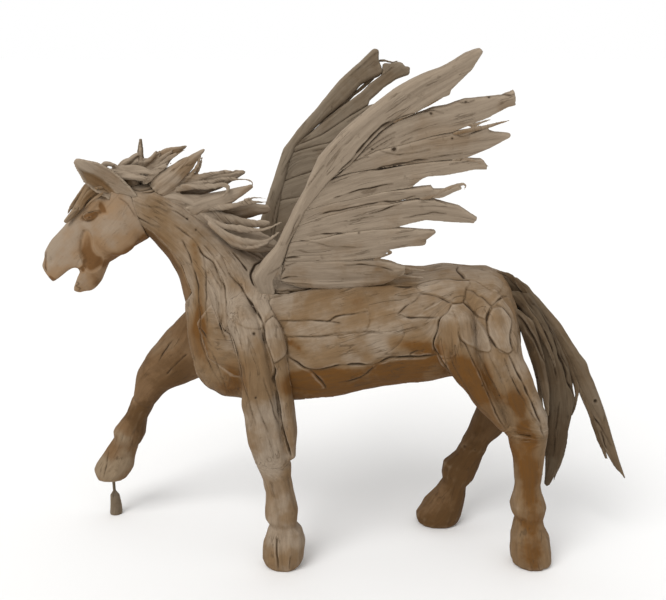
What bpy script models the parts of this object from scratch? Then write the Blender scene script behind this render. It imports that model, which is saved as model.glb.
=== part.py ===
"""Winged horse assembled from weathered driftwood boards, rearing one foreleg.

The trunk is a hollow shell of boards laid like the staves of a cask. The legs are thick
boards above and carved blocks below. Each wing is a leading plank with feather boards
fixed along it. The horse faces -X, its near side is -Y, and it stands on Z = 0.

Free form is drawn on a figure 160 units tall and scaled by HEIGHT. Board thicknesses,
joints, clearances and the turned prop under the raised hoof are real sizes of their own.
"""

import math

import bmesh
import bpy
from mathutils import Vector

# Overall size
HEIGHT = 1.60
FIGURE = 160.0
UNIT = HEIGHT / FIGURE

# Boards
TRUNK_BOARD = 0.028
SPAR_BOARD = 0.032
FEATHER_BOARD = 0.018
BOARD_EDGE = 0.004
EAR_WALL = 0.008
EAR_LIP = 0.001

# Fits
JOINT_GAP = 0.0020
SEAT_GAP = 0.0006
WELD = 0.0001

# Wings: how far they lean out, and where their roots stand on the drawn figure
WING_LEAN = math.radians(20.0)
WING_ROOT_OUT = 11.0 * UNIT
WING_ROOT_UP = 93.0 * UNIT

# Stance of the drawn figure
NEAR_FORE_OUT = 12.0 * UNIT
NEAR_HIND_OUT = 11.5 * UNIT
FAR_HIND_OUT = 15.5 * UNIT
RAISED_HOOF_OUT = 21.5 * UNIT
RAISED_SOLE_HEIGHT = 14.8 * UNIT

# Turned prop under the raised hoof
PROP_FOOT_RADIUS = 0.021
PROP_SHOULDER_RADIUS = 0.016
PROP_NECK_RADIUS = 0.0055
PROP_FOOT_HEIGHT = 0.008
PROP_SHOULDER_HEIGHT = 0.072
PROP_NECK_TAPER = 0.016
PROP_X = -78.1 * UNIT

# Carving of the head, on the drawn figure
EYE_RADIUS = 1.7
CHEEK_RADIUS = 7.0
NOSTRIL_RADIUS = 0.9
MOUTH_REACH = 10.0

# Trunk sections from poll to buttock: top x, top z, underside x, underside z, half width
TRUNK = (
    (-61, 121, -57, 106, 5.5),
    (-54, 121.5, -54, 103, 6.5),
    (-46.5, 117, -50.5, 98.5, 7),
    (-40, 111.5, -47.5, 92.5, 8),
    (-33, 105.5, -46, 84, 9.5),
    (-27, 100.5, -46, 73.5, 11.5),
    (-21.5, 97, -43.5, 60.5, 13.5),
    (-15, 95.5, -35.5, 54, 15),
    (-7, 94.5, -23, 52.5, 16.5),
    (0.5, 95, -9, 52.5, 17.5),
    (10, 95.5, 4, 54.5, 18),
    (19.5, 95.5, 15, 57.5, 18),
    (27.5, 95.5, 26.5, 58.5, 18),
    (34.5, 96.5, 37.5, 60.5, 17.5),
    (42, 96, 47.5, 61.5, 16.5),
    (48, 95.5, 56, 64.5, 14),
    (52, 94, 58.5, 70, 10),
    (54, 91, 58.5, 77, 5.5),
    (56, 86.5, 57, 83, 1.5),
)
TRUNK_POWER = 2.3

# Seams between the strakes: angle at the poll, the shoulder and the rump, from the top
# over the near side to the belly and round the far side
SEAMS = (
    (28, 32, 30),
    (58, 64, 60),
    (86, 92, 92),
    (118, 116, 120),
    (152, 150, 152),
    (205, 208, 206),
    (270, 268, 272),
    (332, 328, 330),
)
STRAKE_STEP = 17.0

# Boards of the trunk: name, first section, last section, first seam, last seam
TRUNK_BOARDS = (
    ("neck_crest_board", 0, 8, 7, 8),
    ("neck_near_upper_board", 0, 7, 0, 1),
    ("neck_near_middle_board", 0, 6, 1, 2),
    ("neck_near_lower_board", 0, 5, 2, 3),
    ("throat_board", 0, 4, 3, 5),
    ("breast_near_board", 4, 8, 3, 4),
    ("breast_under_board", 4, 9, 4, 5),
    ("neck_far_lower_board", 0, 8, 5, 6),
    ("neck_far_upper_board", 0, 7, 6, 7),
    ("back_board", 8, 14, 7, 8),
    ("flank_near_board_1", 7, 14, 0, 1),
    ("flank_near_board_2", 6, 14, 1, 2),
    ("flank_near_board_3", 5, 13, 2, 3),
    ("flank_near_board_4", 8, 14, 3, 4),
    ("belly_board", 9, 15, 4, 5),
    ("flank_far_lower_board", 8, 14, 5, 6),
    ("flank_far_upper_board", 7, 14, 6, 7),
    ("croup_board", 14, 18, 7, 8),
    ("rump_near_upper_board", 14, 18, 0, 2),
    ("rump_far_board", 14, 18, 5, 7),
)

for stale in list(bpy.data.objects):
    bpy.data.objects.remove(stale, do_unlink=True)

parts = bpy.data.collections.new("winged_horse")
cutters = bpy.data.collections.new("cutters")
bpy.context.scene.collection.children.link(parts)
bpy.context.scene.collection.children.link(cutters)

root = bpy.data.objects.new("winged_horse_root", None)
parts.objects.link(root)


def wood(name, colour, roughness):
    """A plain wood material with its own colour."""
    material = bpy.data.materials.new(name)
    material.use_nodes = True
    shader = material.node_tree.nodes["Principled BSDF"]
    shader.inputs["Base Color"].default_value = (*colour, 1.0)
    shader.inputs["Roughness"].default_value = roughness
    shader.inputs["Metallic"].default_value = 0.0
    return material


SUNNED = wood("sun_bleached_wood", (0.47, 0.37, 0.26), 0.85)
WARM = wood("warm_brown_wood", (0.36, 0.23, 0.13), 0.80)
CARVED = wood("carved_pale_wood", (0.52, 0.39, 0.25), 0.72)
GREYED = wood("greyed_wood", (0.34, 0.27, 0.20), 0.88)


def add_object(name, mesh, material, parent=root):
    """Link a mesh as a part, with its material and parent."""
    mesh.materials.clear()
    mesh.materials.append(material)
    part = bpy.data.objects.new(name, mesh)
    parts.objects.link(part)
    part.parent = parent
    return part


def as_cutter(shape):
    """Move a shape to the cutters, which aren't part of the model."""
    for home in list(shape.users_collection):
        home.objects.unlink(shape)
    cutters.objects.link(shape)
    shape.hide_render = True
    shape.display_type = "WIRE"
    return shape


def cut(part, cutter, operation="DIFFERENCE"):
    """Cut a part with, or join it to, a cutter."""
    modifier = part.modifiers.new(operation.lower(), "BOOLEAN")
    modifier.operation = operation
    modifier.object = cutter
    modifier.solver = "EXACT"
    return modifier


def mesh_from(name, points, faces):
    """A mesh whose faces are made to point outwards."""
    mesh = bpy.data.meshes.new(name)
    mesh.from_pydata([tuple(p) for p in points], [], faces)
    form = bmesh.new()
    form.from_mesh(mesh)
    bmesh.ops.recalc_face_normals(form, faces=form.faces)
    form.to_mesh(mesh)
    form.free()
    return mesh


def loft_mesh(name, rings):
    """A closed skin through rings of equal count, capped at both ends."""
    count = len(rings[0])
    points = [p for ring in rings for p in ring]
    faces = [tuple(range(count))]
    for k in range(len(rings) - 1):
        for j in range(count):
            here, after = k * count + j, k * count + (j + 1) % count
            faces.append((here, after, after + count))
            faces.append((here, after + count, here + count))
    faces.append(tuple(range((len(rings) - 1) * count, len(rings) * count)))
    return mesh_from(name, points, faces)


def trimmed(rings, gap):
    """Rings with both ends drawn in by half a joint gap."""
    rings = [list(ring) for ring in rings]
    for end, beside in ((0, 1), (-1, -2)):
        span = sum(((a - b).length for a, b in zip(rings[end], rings[beside])), 0.0) / len(rings[end])
        share = 0.5 * gap / span
        rings[end] = [a.lerp(b, share) for a, b in zip(rings[end], rings[beside])]
    return rings


# Trunk


def seam_angle(seam, section):
    """Angle of a seam at a section, from its three stated values."""
    whole, index = divmod(seam, len(SEAMS))
    poll, shoulder, rump = SEAMS[index]
    if section <= 7:
        angle = poll + (shoulder - poll) * section / 7
    else:
        angle = shoulder + (rump - shoulder) * (section - 7) / 11
    return angle + 360.0 * whole


def strake_columns(first, last):
    """Columns between two seams, as (seam, share of the strake)."""
    columns = []
    for seam in range(first, last):
        width = seam_angle(seam + 1, 7) - seam_angle(seam, 7)
        steps = max(2, round(width / STRAKE_STEP))
        columns += [(seam, k / steps) for k in range(steps)]
    return columns + [(last, 0.0)]


def trunk_centre(section):
    """Centre of a trunk section."""
    top_x, top_z, low_x, low_z, _ = TRUNK[section]
    return Vector((0.5 * (top_x + low_x), 0.0, 0.5 * (top_z + low_z))) * UNIT


def trunk_point(section, column):
    """Point on the trunk's surface at a section and a column."""
    top_x, top_z, low_x, low_z, half_width = TRUNK[section]
    seam, share = column
    start = seam_angle(seam, section)
    turn = math.radians(start + share * (seam_angle(seam + 1, section) - start))
    up, out = math.cos(turn), math.sin(turn)
    up = math.copysign(abs(up) ** (2 / TRUNK_POWER), up)
    out = math.copysign(abs(out) ** (2 / TRUNK_POWER), out)
    rise = Vector((0.5 * (top_x - low_x), 0.0, 0.5 * (top_z - low_z)))
    offset = rise * up + Vector((0.0, -half_width, 0.0)) * out
    return trunk_centre(section) + offset * UNIT


def drawn_in(line, gap):
    """A line of points whose two ends are drawn in by half a joint gap."""
    line = list(line)
    for end, beside in ((0, 1), (-1, -2)):
        span = (line[end] - line[beside]).length
        line[end] = line[end].lerp(line[beside], min(0.4, 0.5 * gap / span))
    return line


def trunk_board(name, first, last, seam_from, seam_to, material):
    """A board of the trunk: a patch of its surface, with its thickness inwards."""
    columns = strake_columns(seam_from, seam_to)
    rows = [[trunk_point(s, c) for c in columns] for s in range(first, last + 1)]
    rows = [drawn_in(row, JOINT_GAP) for row in rows]
    lengths = [drawn_in([row[j] for row in rows], JOINT_GAP) for j in range(len(columns))]
    rows = [[lengths[j][i] for j in range(len(columns))] for i in range(len(rows))]
    inner = []
    for i, row in enumerate(rows):
        centre = trunk_centre(first + i)
        depth = [min(0.62, TRUNK_BOARD / (p - centre).length) for p in row]
        inner.append([p.lerp(centre, d) for p, d in zip(row, depth)])
    wide, long = len(columns), len(rows)
    points = [p for row in rows for p in row] + [p for row in inner for p in row]
    shift = wide * long
    faces = []
    for i in range(long - 1):
        for j in range(wide - 1):
            a, b = i * wide + j, i * wide + j + 1
            c, d = b + wide, a + wide
            faces += [(a, b, c), (a, c, d)]
            faces += [(a + shift, c + shift, b + shift), (a + shift, d + shift, c + shift)]
    rim = [j for j in range(wide)]
    rim += [i * wide + wide - 1 for i in range(1, long)]
    rim += [(long - 1) * wide + j for j in range(wide - 2, -1, -1)]
    rim += [i * wide for i in range(long - 2, 0, -1)]
    for a, b in zip(rim, rim[1:] + rim[:1]):
        faces += [(a, b + shift, b), (a, a + shift, b + shift)]
    return add_object(name, mesh_from(name, points, faces), material)


def trunk_hull():
    """The trunk's outer form, grown by the seating clearance."""
    columns = strake_columns(0, len(SEAMS))[:-1]
    rings = []
    for section in range(len(TRUNK)):
        centre = trunk_centre(section)
        ring = [trunk_point(section, c) for c in columns]
        rings.append([p + (p - centre).normalized() * SEAT_GAP for p in ring])
    hull = bpy.data.objects.new("trunk_hull", loft_mesh("trunk_hull", rings))
    parts.objects.link(hull)
    hull.parent = root
    return as_cutter(hull)


hull = trunk_hull()
for row in TRUNK_BOARDS:
    trunk_board(*row, material=WARM if "throat" in row[0] or "breast" in row[0] else SUNNED)
trunk_board("rump_near_lower_board", 14, 18, 2, 4, SUNNED)


# Legs


def oval(fore, aft, out, depth, sides, power):
    """A rounded section between a fore point and an aft point, at a place across."""
    centre = Vector((0.5 * (fore[0] + aft[0]), 0.0, 0.5 * (fore[1] + aft[1])))
    reach = Vector((0.5 * (fore[0] - aft[0]), 0.0, 0.5 * (fore[1] - aft[1])))
    ring = []
    for k in range(sides):
        turn = 2 * math.pi * (k + 0.5) / sides
        along, across = math.cos(turn), math.sin(turn)
        along = math.copysign(abs(along) ** (2 / power), along)
        across = math.copysign(abs(across) ** (2 / power), across)
        point = (centre + reach * along) * UNIT
        point.y = out + depth * UNIT * across
        ring.append(point)
    return ring


def limb(name, sections, out, material, sides=12, power=2.4, flat_sole=False):
    """A leg piece through sections of (fore x, fore z, aft x, aft z, drift, half depth)."""
    rings = []
    for fore_x, fore_z, aft_x, aft_z, drift, depth in sections:
        place = out + drift * UNIT
        rings.append(oval((fore_x, fore_z), (aft_x, aft_z), place, depth, sides, power))
    sole = [p.copy() for p in rings[-1]]
    rings = trimmed(rings, JOINT_GAP)
    if flat_sole:
        rings[-1] = sole
    return add_object(name, loft_mesh(name, rings), material)


near_fore = -NEAR_FORE_OUT
near_fore_front = limb("near_foreleg_front_board", (
    (-31, 88, -27, 89, 1.0, 1.5),
    (-31.5, 82, -22, 82.5, -1.5, 5.0),
    (-29, 73, -19.5, 73, -2.5, 6.2),
    (-27.5, 64, -18, 64, -2.5, 6.2),
    (-27.2, 54, -16.7, 54, -1.5, 5.8),
    (-26.4, 43.4, -15.2, 43.4, -0.5, 5.2),
    (-24, 35, -14.2, 35, 0, 4.6),
), near_fore, WARM, sides=10, power=3.2)
near_fore_rear = limb("near_foreleg_rear_board", (
    (-24, 88, -20, 89, 0.5, 1.5),
    (-21.7, 82, -16, 82.5, -2.0, 4.0),
    (-19.2, 73, -14, 73, -3.0, 5.0),
    (-17.7, 64, -12.8, 64, -2.5, 5.0),
    (-16.4, 54, -12.2, 54, -1.5, 4.6),
    (-14.9, 45, -11.4, 45, -0.5, 4.0),
    (-13.9, 36.5, -12, 38, 0, 2.6),
), near_fore, WARM, sides=10, power=3.2)
near_fore_lower = limb("near_foreleg_carved_hoof", (
    (-23.9, 34.8, -13.4, 34.8, 0, 4.8),
    (-21.9, 30, -13.6, 30.6, 0, 4.4),
    (-20.9, 25.5, -12.4, 25, 0, 4.2),
    (-21.4, 18.6, -11.2, 18.6, -0.2, 4.8),
    (-21.4, 16.7, -11.4, 16, -0.2, 4.8),
    (-20, 14.5, -11.9, 14.3, -0.1, 4.1),
    (-21, 12, -10.2, 12.5, -0.2, 4.6),
    (-22.4, 7.4, -9.5, 7.4, -0.3, 5.6),
    (-22.6, 3, -9.6, 3, -0.3, 6.0),
    (-21.8, 0.8, -10.5, 0.8, -0.3, 5.7),
    (-20.8, 0, -11.4, 0, -0.3, 5.0),
), near_fore, CARVED, flat_sole=True)

near_hind = -NEAR_HIND_OUT
near_hind_front = limb("near_thigh_front_board", (
    (34.5, 89.5, 39, 90, -1.0, 1.5),
    (31.5, 84, 41.3, 84.5, -3.5, 5.0),
    (30.3, 76.5, 42, 77, -4.0, 6.0),
    (31.8, 70.5, 43.7, 70.5, -4.0, 6.0),
    (36.6, 64.5, 46.4, 64.5, -3.5, 5.8),
    (41.5, 58.3, 49, 58.7, -2.5, 5.4),
    (46.7, 52.4, 52.2, 53, -1.0, 4.8),
    (52, 46.4, 54.4, 47.4, 0, 3.6),
), near_hind, SUNNED, sides=10, power=3.2)
near_hind_rear = limb("near_thigh_rear_board", (
    (41, 89.5, 48.5, 91.5, -0.5, 1.5),
    (41.6, 84.3, 53, 86, -2.0, 5.0),
    (42.3, 76.8, 55.3, 78, -3.0, 6.0),
    (44, 70.4, 57.2, 71, -3.5, 6.2),
    (46.7, 64.2, 60, 65, -3.5, 6.0),
    (49.4, 58.3, 62.9, 58.2, -2.5, 5.8),
    (52.6, 52.6, 65.8, 52.3, -1.0, 5.4),
    (54.7, 47.3, 66.8, 45.2, 0, 4.9),
), near_hind, WARM, sides=10, power=3.2)
near_hind_lower = limb("near_hind_leg_carved_hoof", (
    (54.2, 46, 66.9, 45, 0, 4.9),
    (56.8, 36, 66.3, 36, 0, 4.6),
    (57.8, 28, 65.5, 28, 0, 4.2),
    (57.6, 24.6, 66.1, 25, 0, 4.4),
    (56.8, 20.6, 67.9, 20.1, 0, 5.0),
    (57.4, 18.4, 67.5, 17.8, 0, 4.9),
    (58.8, 16, 67, 15.5, 0, 4.2),
    (58, 13.4, 67.7, 12.9, 0, 4.8),
    (57.3, 9.8, 69.2, 9.8, 0, 5.6),
    (57.5, 4.2, 70.3, 4.2, 0, 6.1),
    (58.2, 1, 70.6, 1, 0, 6.0),
    (59.4, 0, 69.6, 0, 0, 5.2),
), near_hind, CARVED, flat_sole=True)

raised = RAISED_HOOF_OUT
raised_upper = limb("raised_foreleg_upper_board", (
    (-42, 83, -36, 59, -12.5, 3.0),
    (-48, 78, -43, 56.5, -10.5, 6.0),
    (-55, 70.5, -50.5, 53, -8.5, 6.5),
    (-61, 63.5, -55.5, 50.5, -6.5, 6.0),
    (-66, 55, -59, 46.5, -4.5, 5.5),
    (-68, 46.5, -62, 42.5, -3.0, 5.0),
), raised, WARM, power=2.6)
raised_lower = limb("raised_foreleg_carved_hoof", (
    (-68.3, 46, -62.2, 42, -3.0, 4.6),
    (-71, 39.5, -64.8, 37.5, -2.5, 4.2),
    (-76, 33, -66, 31.5, -1.6, 4.8),
    (-76, 30, -67.2, 28.8, -1.2, 4.6),
    (-77.5, 27.8, -68.8, 27, -0.9, 4.4),
    (-81, 22.5, -70, 23, -0.5, 5.3),
    (-83.8, 17.5, -72, 17.5, -0.1, 5.8),
    (-83.4, RAISED_SOLE_HEIGHT / UNIT, -73.6, RAISED_SOLE_HEIGHT / UNIT, 0, 5.2),
), raised, CARVED, flat_sole=True)

far_hind = FAR_HIND_OUT
far_hind_upper = limb("far_hind_leg_upper_board", (
    (37, 78, 52, 82, -5.0, 3.5),
    (41, 70, 57, 73, -4.5, 6.0),
    (44, 61, 60, 64, -4.5, 6.0),
    (47.7, 51.9, 60.3, 52, -2.5, 5.6),
    (49.5, 43.5, 60.1, 41.5, -0.8, 5.0),
    (47.1, 37.2, 58.2, 34.7, 0, 4.7),
    (44.2, 30, 53.6, 29, 0, 4.4),
), far_hind, WARM, power=2.8)
far_hind_lower = limb("far_hind_leg_carved_hoof", (
    (44, 29.4, 53.5, 28.4, 0, 4.4),
    (42.6, 26.2, 51.7, 25.7, 0, 4.3),
    (38.5, 22.7, 50.4, 21.2, 0, 4.9),
    (38.1, 18.6, 48.6, 16.7, 0, 4.8),
    (38.5, 16.1, 46.4, 14, 0, 4.2),
    (36.1, 12.6, 46.2, 10.6, 0, 4.9),
    (32, 8, 45.6, 6.5, 0, 5.6),
    (29.9, 3.2, 44.6, 3, 0, 6.1),
    (29.9, 0.8, 43.8, 0.8, 0, 6.0),
    (30.9, 0, 42.8, 0, 0, 5.2),
), far_hind, CARVED, flat_sole=True)

for piece in (near_fore_front, near_fore_rear, near_hind_front, near_hind_rear, raised_upper, far_hind_upper):
    cut(piece, hull)

prop_rows = (
    (0.0, RAISED_SOLE_HEIGHT - SEAT_GAP),
    (PROP_NECK_RADIUS, RAISED_SOLE_HEIGHT - SEAT_GAP),
    (PROP_NECK_RADIUS, PROP_SHOULDER_HEIGHT + PROP_NECK_TAPER),
    (0.8 * PROP_SHOULDER_RADIUS, PROP_SHOULDER_HEIGHT + 0.25 * PROP_NECK_TAPER),
    (PROP_SHOULDER_RADIUS, PROP_SHOULDER_HEIGHT),
    (PROP_FOOT_RADIUS, PROP_FOOT_HEIGHT),
    (PROP_FOOT_RADIUS, 0.0),
    (0.0, 0.0),
)
prop_mesh = bpy.data.meshes.new("raised_hoof_prop")
prop_mesh.from_pydata([(x, 0.0, z) for x, z in prop_rows], [(k, k + 1) for k in range(len(prop_rows) - 1)], [])
prop = add_object("raised_hoof_prop", prop_mesh, GREYED)
prop.location = (PROP_X, RAISED_HOOF_OUT, 0.0)
turning = prop.modifiers.new("turning", "SCREW")
turning.steps = 16
turning.render_steps = 16
turning.use_merge_vertices = True
turning.merge_threshold = WELD


# Head


def ball(name, centre, radius, stretch=(1.0, 1.0, 1.0), segments=14, rings=8):
    """A ball or a stretched ball on the drawn figure, as a cutter."""
    bpy.ops.mesh.primitive_uv_sphere_add(segments=segments, ring_count=rings, radius=radius * UNIT)
    shape = bpy.context.active_object
    shape.name = name
    for vertex in shape.data.vertices:
        vertex.co = Vector(c * f for c, f in zip(vertex.co, stretch))
    shape.location = Vector(centre) * UNIT
    shape.parent = root
    return as_cutter(shape)


def spread(outline, across, half_depth, name):
    """A flat outline drawn in the X-Z plane, as a slab across Y, as a cutter."""
    near = [Vector((x, across - half_depth, z)) * UNIT for x, z in outline]
    far = [Vector((x, across + half_depth, z)) * UNIT for x, z in outline]
    slab = bpy.data.objects.new(name, loft_mesh(name, [near, far]))
    parts.objects.link(slab)
    slab.parent = root
    return as_cutter(slab)


HEAD = (
    (-57.5, 119.5, -54.5, 106, 5.0),
    (-61, 120.5, -57, 104.5, 6.0),
    (-67, 121.5, -60.5, 102.5, 7.2),
    (-73.5, 117.5, -64.5, 100, 7.0),
    (-78.5, 113, -69.5, 97, 5.6),
    (-82.5, 108.5, -72, 91.5, 4.8),
    (-86.2, 104.8, -75.5, 88.6, 4.3),
    (-89.4, 100.8, -79.5, 87.6, 3.8),
    (-90.6, 96.5, -85, 89.2, 2.8),
)
head_rings = [oval((a, b), (c, d), 0.0, w, 16, 2.5) for a, b, c, d, w in HEAD]
head = add_object("carved_head", loft_mesh("carved_head", head_rings), CARVED)
cut(head, hull)
mouth = spread(((-77.5, 95.2), (-80.5, 96.2), (-84.4, 93), (-87, 91), (-92, 86), (-84, 83.5), (-81, 89.8), (-79.4, 91.8)),
               0.0, MOUTH_REACH, "mouth_wedge")
for side, label in ((-1, "near"), (1, "far")):
    cheek = ball(f"cheek_{label}", (-65.5, side * 4.8, 107.2), CHEEK_RADIUS, (1.0, 0.38, 1.0))
    cut(head, cheek, "UNION")
    eye = ball(f"eye_{label}", (-72.9, side * 6.4, 112.6), EYE_RADIUS, (1.3, 0.7, 0.8), 12, 6)
    cut(head, eye, "UNION")
cut(head, mouth)
for side, label in ((-1, "near"), (1, "far")):
    nostril = ball(f"nostril_{label}", (-86.8, side * 3.6, 98.5), NOSTRIL_RADIUS, (1.0, 1.1, 1.5), 8, 6)
    cut(head, nostril)


def ear(name, sections, material):
    """A cupped ear: a hollow blade through sections of (upper x, z, lower x, z, across, bulge)."""
    rings = []
    for upper_x, upper_z, lower_x, lower_z, across, bulge in sections:
        upper = Vector((upper_x, across, upper_z)) * UNIT
        lower = Vector((lower_x, across, lower_z)) * UNIT
        wall = min(EAR_WALL, abs(bulge) * UNIT)
        ring = []
        for k in range(7):
            turn = math.pi * k / 6
            point = upper.lerp(lower, 0.5 - 0.5 * math.cos(turn))
            point.y += bulge * UNIT * math.sin(turn)
            ring.append(point)
        for k in range(5, 0, -1):
            turn = math.pi * k / 6
            point = upper.lerp(lower, 0.5 - 0.44 * math.cos(turn))
            depth = abs(bulge) * UNIT - wall
            point.y += math.copysign(depth * math.sin(turn) - EAR_LIP, bulge)
            ring.append(point)
        rings.append(ring)
    return add_object(name, loft_mesh(name, rings), material)


near_ear = ear("near_ear", (
    (-58.5, 118.5, -62.5, 113, -5.0, 1.6),
    (-60.5, 121.5, -65, 116.5, -6.0, 2.2),
    (-63, 124.5, -68.5, 118.8, -6.8, 2.6),
    (-66, 127, -71, 120.5, -7.3, 2.6),
    (-69, 128.7, -73.4, 123, -7.8, 2.0),
    (-72.5, 129.4, -74.8, 126, -8.0, 1.3),
    (-75, 129.8, -75.7, 128.6, -8.0, 0.9),
), SUNNED)
far_ear = ear("far_ear", (
    (-63, 117, -57.5, 117, 4.2, -1.6),
    (-62, 122.5, -58, 122.5, 4.8, -1.8),
    (-61, 127, -57.8, 127, 5.3, -1.5),
    (-60, 131, -58, 131, 5.8, -1.1),
    (-59.3, 134.5, -58.3, 134.5, 6.2, -0.8),
), GREYED)


def grown(source, margin, name):
    """A copy of a piece grown by a clearance, to cut its neighbours with."""
    shape = bpy.data.objects.new(name, source.data.copy())
    form = bmesh.new()
    form.from_mesh(shape.data)
    bmesh.ops.recalc_face_normals(form, faces=form.faces)
    form.normal_update()
    moves = [(v, v.normal * margin * v.calc_shell_factor()) for v in form.verts]
    for vertex, move in moves:
        vertex.co += move
    form.to_mesh(shape.data)
    form.free()
    parts.objects.link(shape)
    shape.parent = root
    return as_cutter(shape)


head_form = grown(head, SEAT_GAP, "head_form")
for piece in (near_ear, far_ear):
    cut(piece, head_form)
    cut(piece, hull)


# Mane, forelock and tail


def lock(name, path, material, sides=8, power=2.0):
    """A carved lock through points of (x, across, z, half breadth, half thickness)."""
    centres = [Vector((x, across, z)) * UNIT for x, across, z, _, _ in path]
    rings = []
    for k, (_, _, _, breadth, thick) in enumerate(path):
        before, after = centres[max(k - 1, 0)], centres[min(k + 1, len(path) - 1)]
        run = (after - before).normalized()
        over = run.cross(Vector((0.0, 1.0, 0.0))).normalized()
        side = run.cross(over).normalized()
        ring = []
        for j in range(sides):
            turn = 2 * math.pi * (j + 0.5) / sides
            rise, swing = math.cos(turn), math.sin(turn)
            rise = math.copysign(abs(rise) ** (2 / power), rise)
            swing = math.copysign(abs(swing) ** (2 / power), swing)
            ring.append(centres[k] + (over * breadth * rise + side * thick * swing) * UNIT)
        rings.append(ring)
    return add_object(name, loft_mesh(name, rings), material)


forelock = lock("forelock", (
    (-59.5, 0.0, 119, 2.2, 1.8),
    (-62.5, -0.3, 124.3, 2.6, 2.0),
    (-67.5, -1.5, 124.2, 2.2, 2.0),
    (-73, -3.4, 120.6, 1.8, 1.8),
    (-77.5, -4.3, 115.5, 1.4, 1.4),
    (-81.3, -4.1, 110.5, 0.6, 0.6),
), SUNNED)
cut(forelock, hull)
cut(forelock, head_form)
cut(forelock, grown(near_ear, SEAT_GAP, "near_ear_form"))

MANE = (
    ("mane_poll_lock", 1.8, ((-55.5, 116, 3.0, 1.8), (-56, 122.5, 3.6, 2.0), (-54, 127, 3.2, 1.6), (-49.5, 130.5, 1.8, 1.1),
                             (-44, 132.5, 0.4, 0.4))),
    ("mane_crest_lock", -3.0, ((-54, 116, 3.0, 1.6), (-51, 121.5, 4.4, 1.7), (-44.5, 127, 2.8, 1.3), (-38.5, 132, 0.4, 0.4))),
    ("mane_swept_lock", 1.8, ((-50, 113, 2.8, 1.5), (-44.5, 119.5, 3.6, 1.6), (-35, 122, 2.4, 1.2), (-26, 125, 0.5, 0.4))),
    ("mane_curled_lock", -2.6, ((-46, 110, 2.8, 1.6), (-40.5, 115.5, 3.2, 1.7), (-31, 118, 2.2, 1.3), (-23.5, 121.5, 0.6, 0.5))),
    ("mane_thick_lock", 2.2, ((-41, 105, 2.8, 2.0), (-35, 111.5, 3.2, 2.0), (-27, 113, 2.8, 1.8), (-19.5, 113.5, 1.2, 0.8))),
    ("mane_low_lock", -2.8, ((-36, 97, 3.0, 1.8), (-31, 105, 4.0, 1.9), (-23, 104, 3.6, 1.6), (-17, 102.5, 1.6, 0.9))),
)
for label, across, path in MANE:
    strand = lock(label, [(x, across, z, b, t) for x, z, b, t in path], SUNNED)
    cut(strand, hull)
    cut(strand, head_form)
    if label == "mane_poll_lock":
        cut(strand, grown(far_ear, SEAT_GAP, "far_ear_form"))
        cut(strand, grown(forelock, SEAT_GAP, "forelock_form"))

TAIL = (
    ("tail_long_lock", 0.0, ((50.5, 92, 2.2, 1.8), (56, 90, 2.8, 1.7), (62.5, 83.8, 2.8, 1.6), (69.8, 75.5, 2.8, 1.6),
                             (75.2, 67.5, 2.8, 1.5), (81.2, 57, 2.7, 1.4), (85.6, 47.3, 2.4, 1.3),
                             (89.5, 37.3, 2.2, 1.1), (93.5, 29, 1.4, 0.8), (96.7, 23.6, 0.4, 0.4))),
    ("tail_middle_lock", -3.8, ((52, 88, 2.0, 1.5), (59, 86, 2.8, 1.6), (65, 76, 3.6, 1.6), (70, 64.5, 4.4, 1.6),
                                (72.8, 53, 4.6, 1.5), (72, 43, 4.0, 1.4), (71.6, 33, 3.2, 1.2), (70, 23.5, 1.2, 0.7))),
    ("tail_near_lock", -7.2, ((54, 84, 1.6, 1.4), (59.5, 79, 2.4, 1.5), (63.5, 68, 2.2, 1.4), (66.3, 58.5, 1.4, 1.2),
                              (67.8, 49, 0.5, 0.5))),
    ("tail_far_lock", 3.6, ((54, 86, 1.8, 1.5), (63.5, 80, 2.6, 1.5), (71, 70, 2.4, 1.4), (75.8, 60, 1.8, 1.2),
                            (78.3, 51.5, 0.5, 0.5))),
)
for label, across, path in TAIL:
    strand = lock(label, [(x, across, z, b, t) for x, z, b, t in path], GREYED if "far" in label else SUNNED, 8, 2.4)
    cut(strand, hull)


# Wings


def wing_frame(name, side):
    """An empty that leans a wing out from its root, with local Y up the wing."""
    frame = bpy.data.objects.new(name, None)
    parts.objects.link(frame)
    frame.parent = root
    frame.location = (0.0, side * WING_ROOT_OUT, WING_ROOT_UP)
    frame.rotation_euler = (math.radians(90.0) - side * WING_LEAN, 0.0, 0.0)
    return frame


def inset(outline, distance):
    """A flat outline drawn in by a distance along the normals of its corners."""
    area = sum(a.x * b.y - b.x * a.y for a, b in zip(outline, outline[1:] + outline[:1]))
    turn = 1.0 if area > 0 else -1.0
    result = []
    count = len(outline)
    for k in range(count):
        before = (outline[k] - outline[k - 1]).normalized()
        after = (outline[(k + 1) % count] - outline[k]).normalized()
        first = Vector((-before.y, before.x)) * turn
        second = Vector((-after.y, after.x)) * turn
        middle = (first + second)
        middle = middle.normalized() if middle.length > 0.2 else first
        result.append(outline[k] + middle * distance / max(0.45, middle.dot(second)))
    return result


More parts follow.
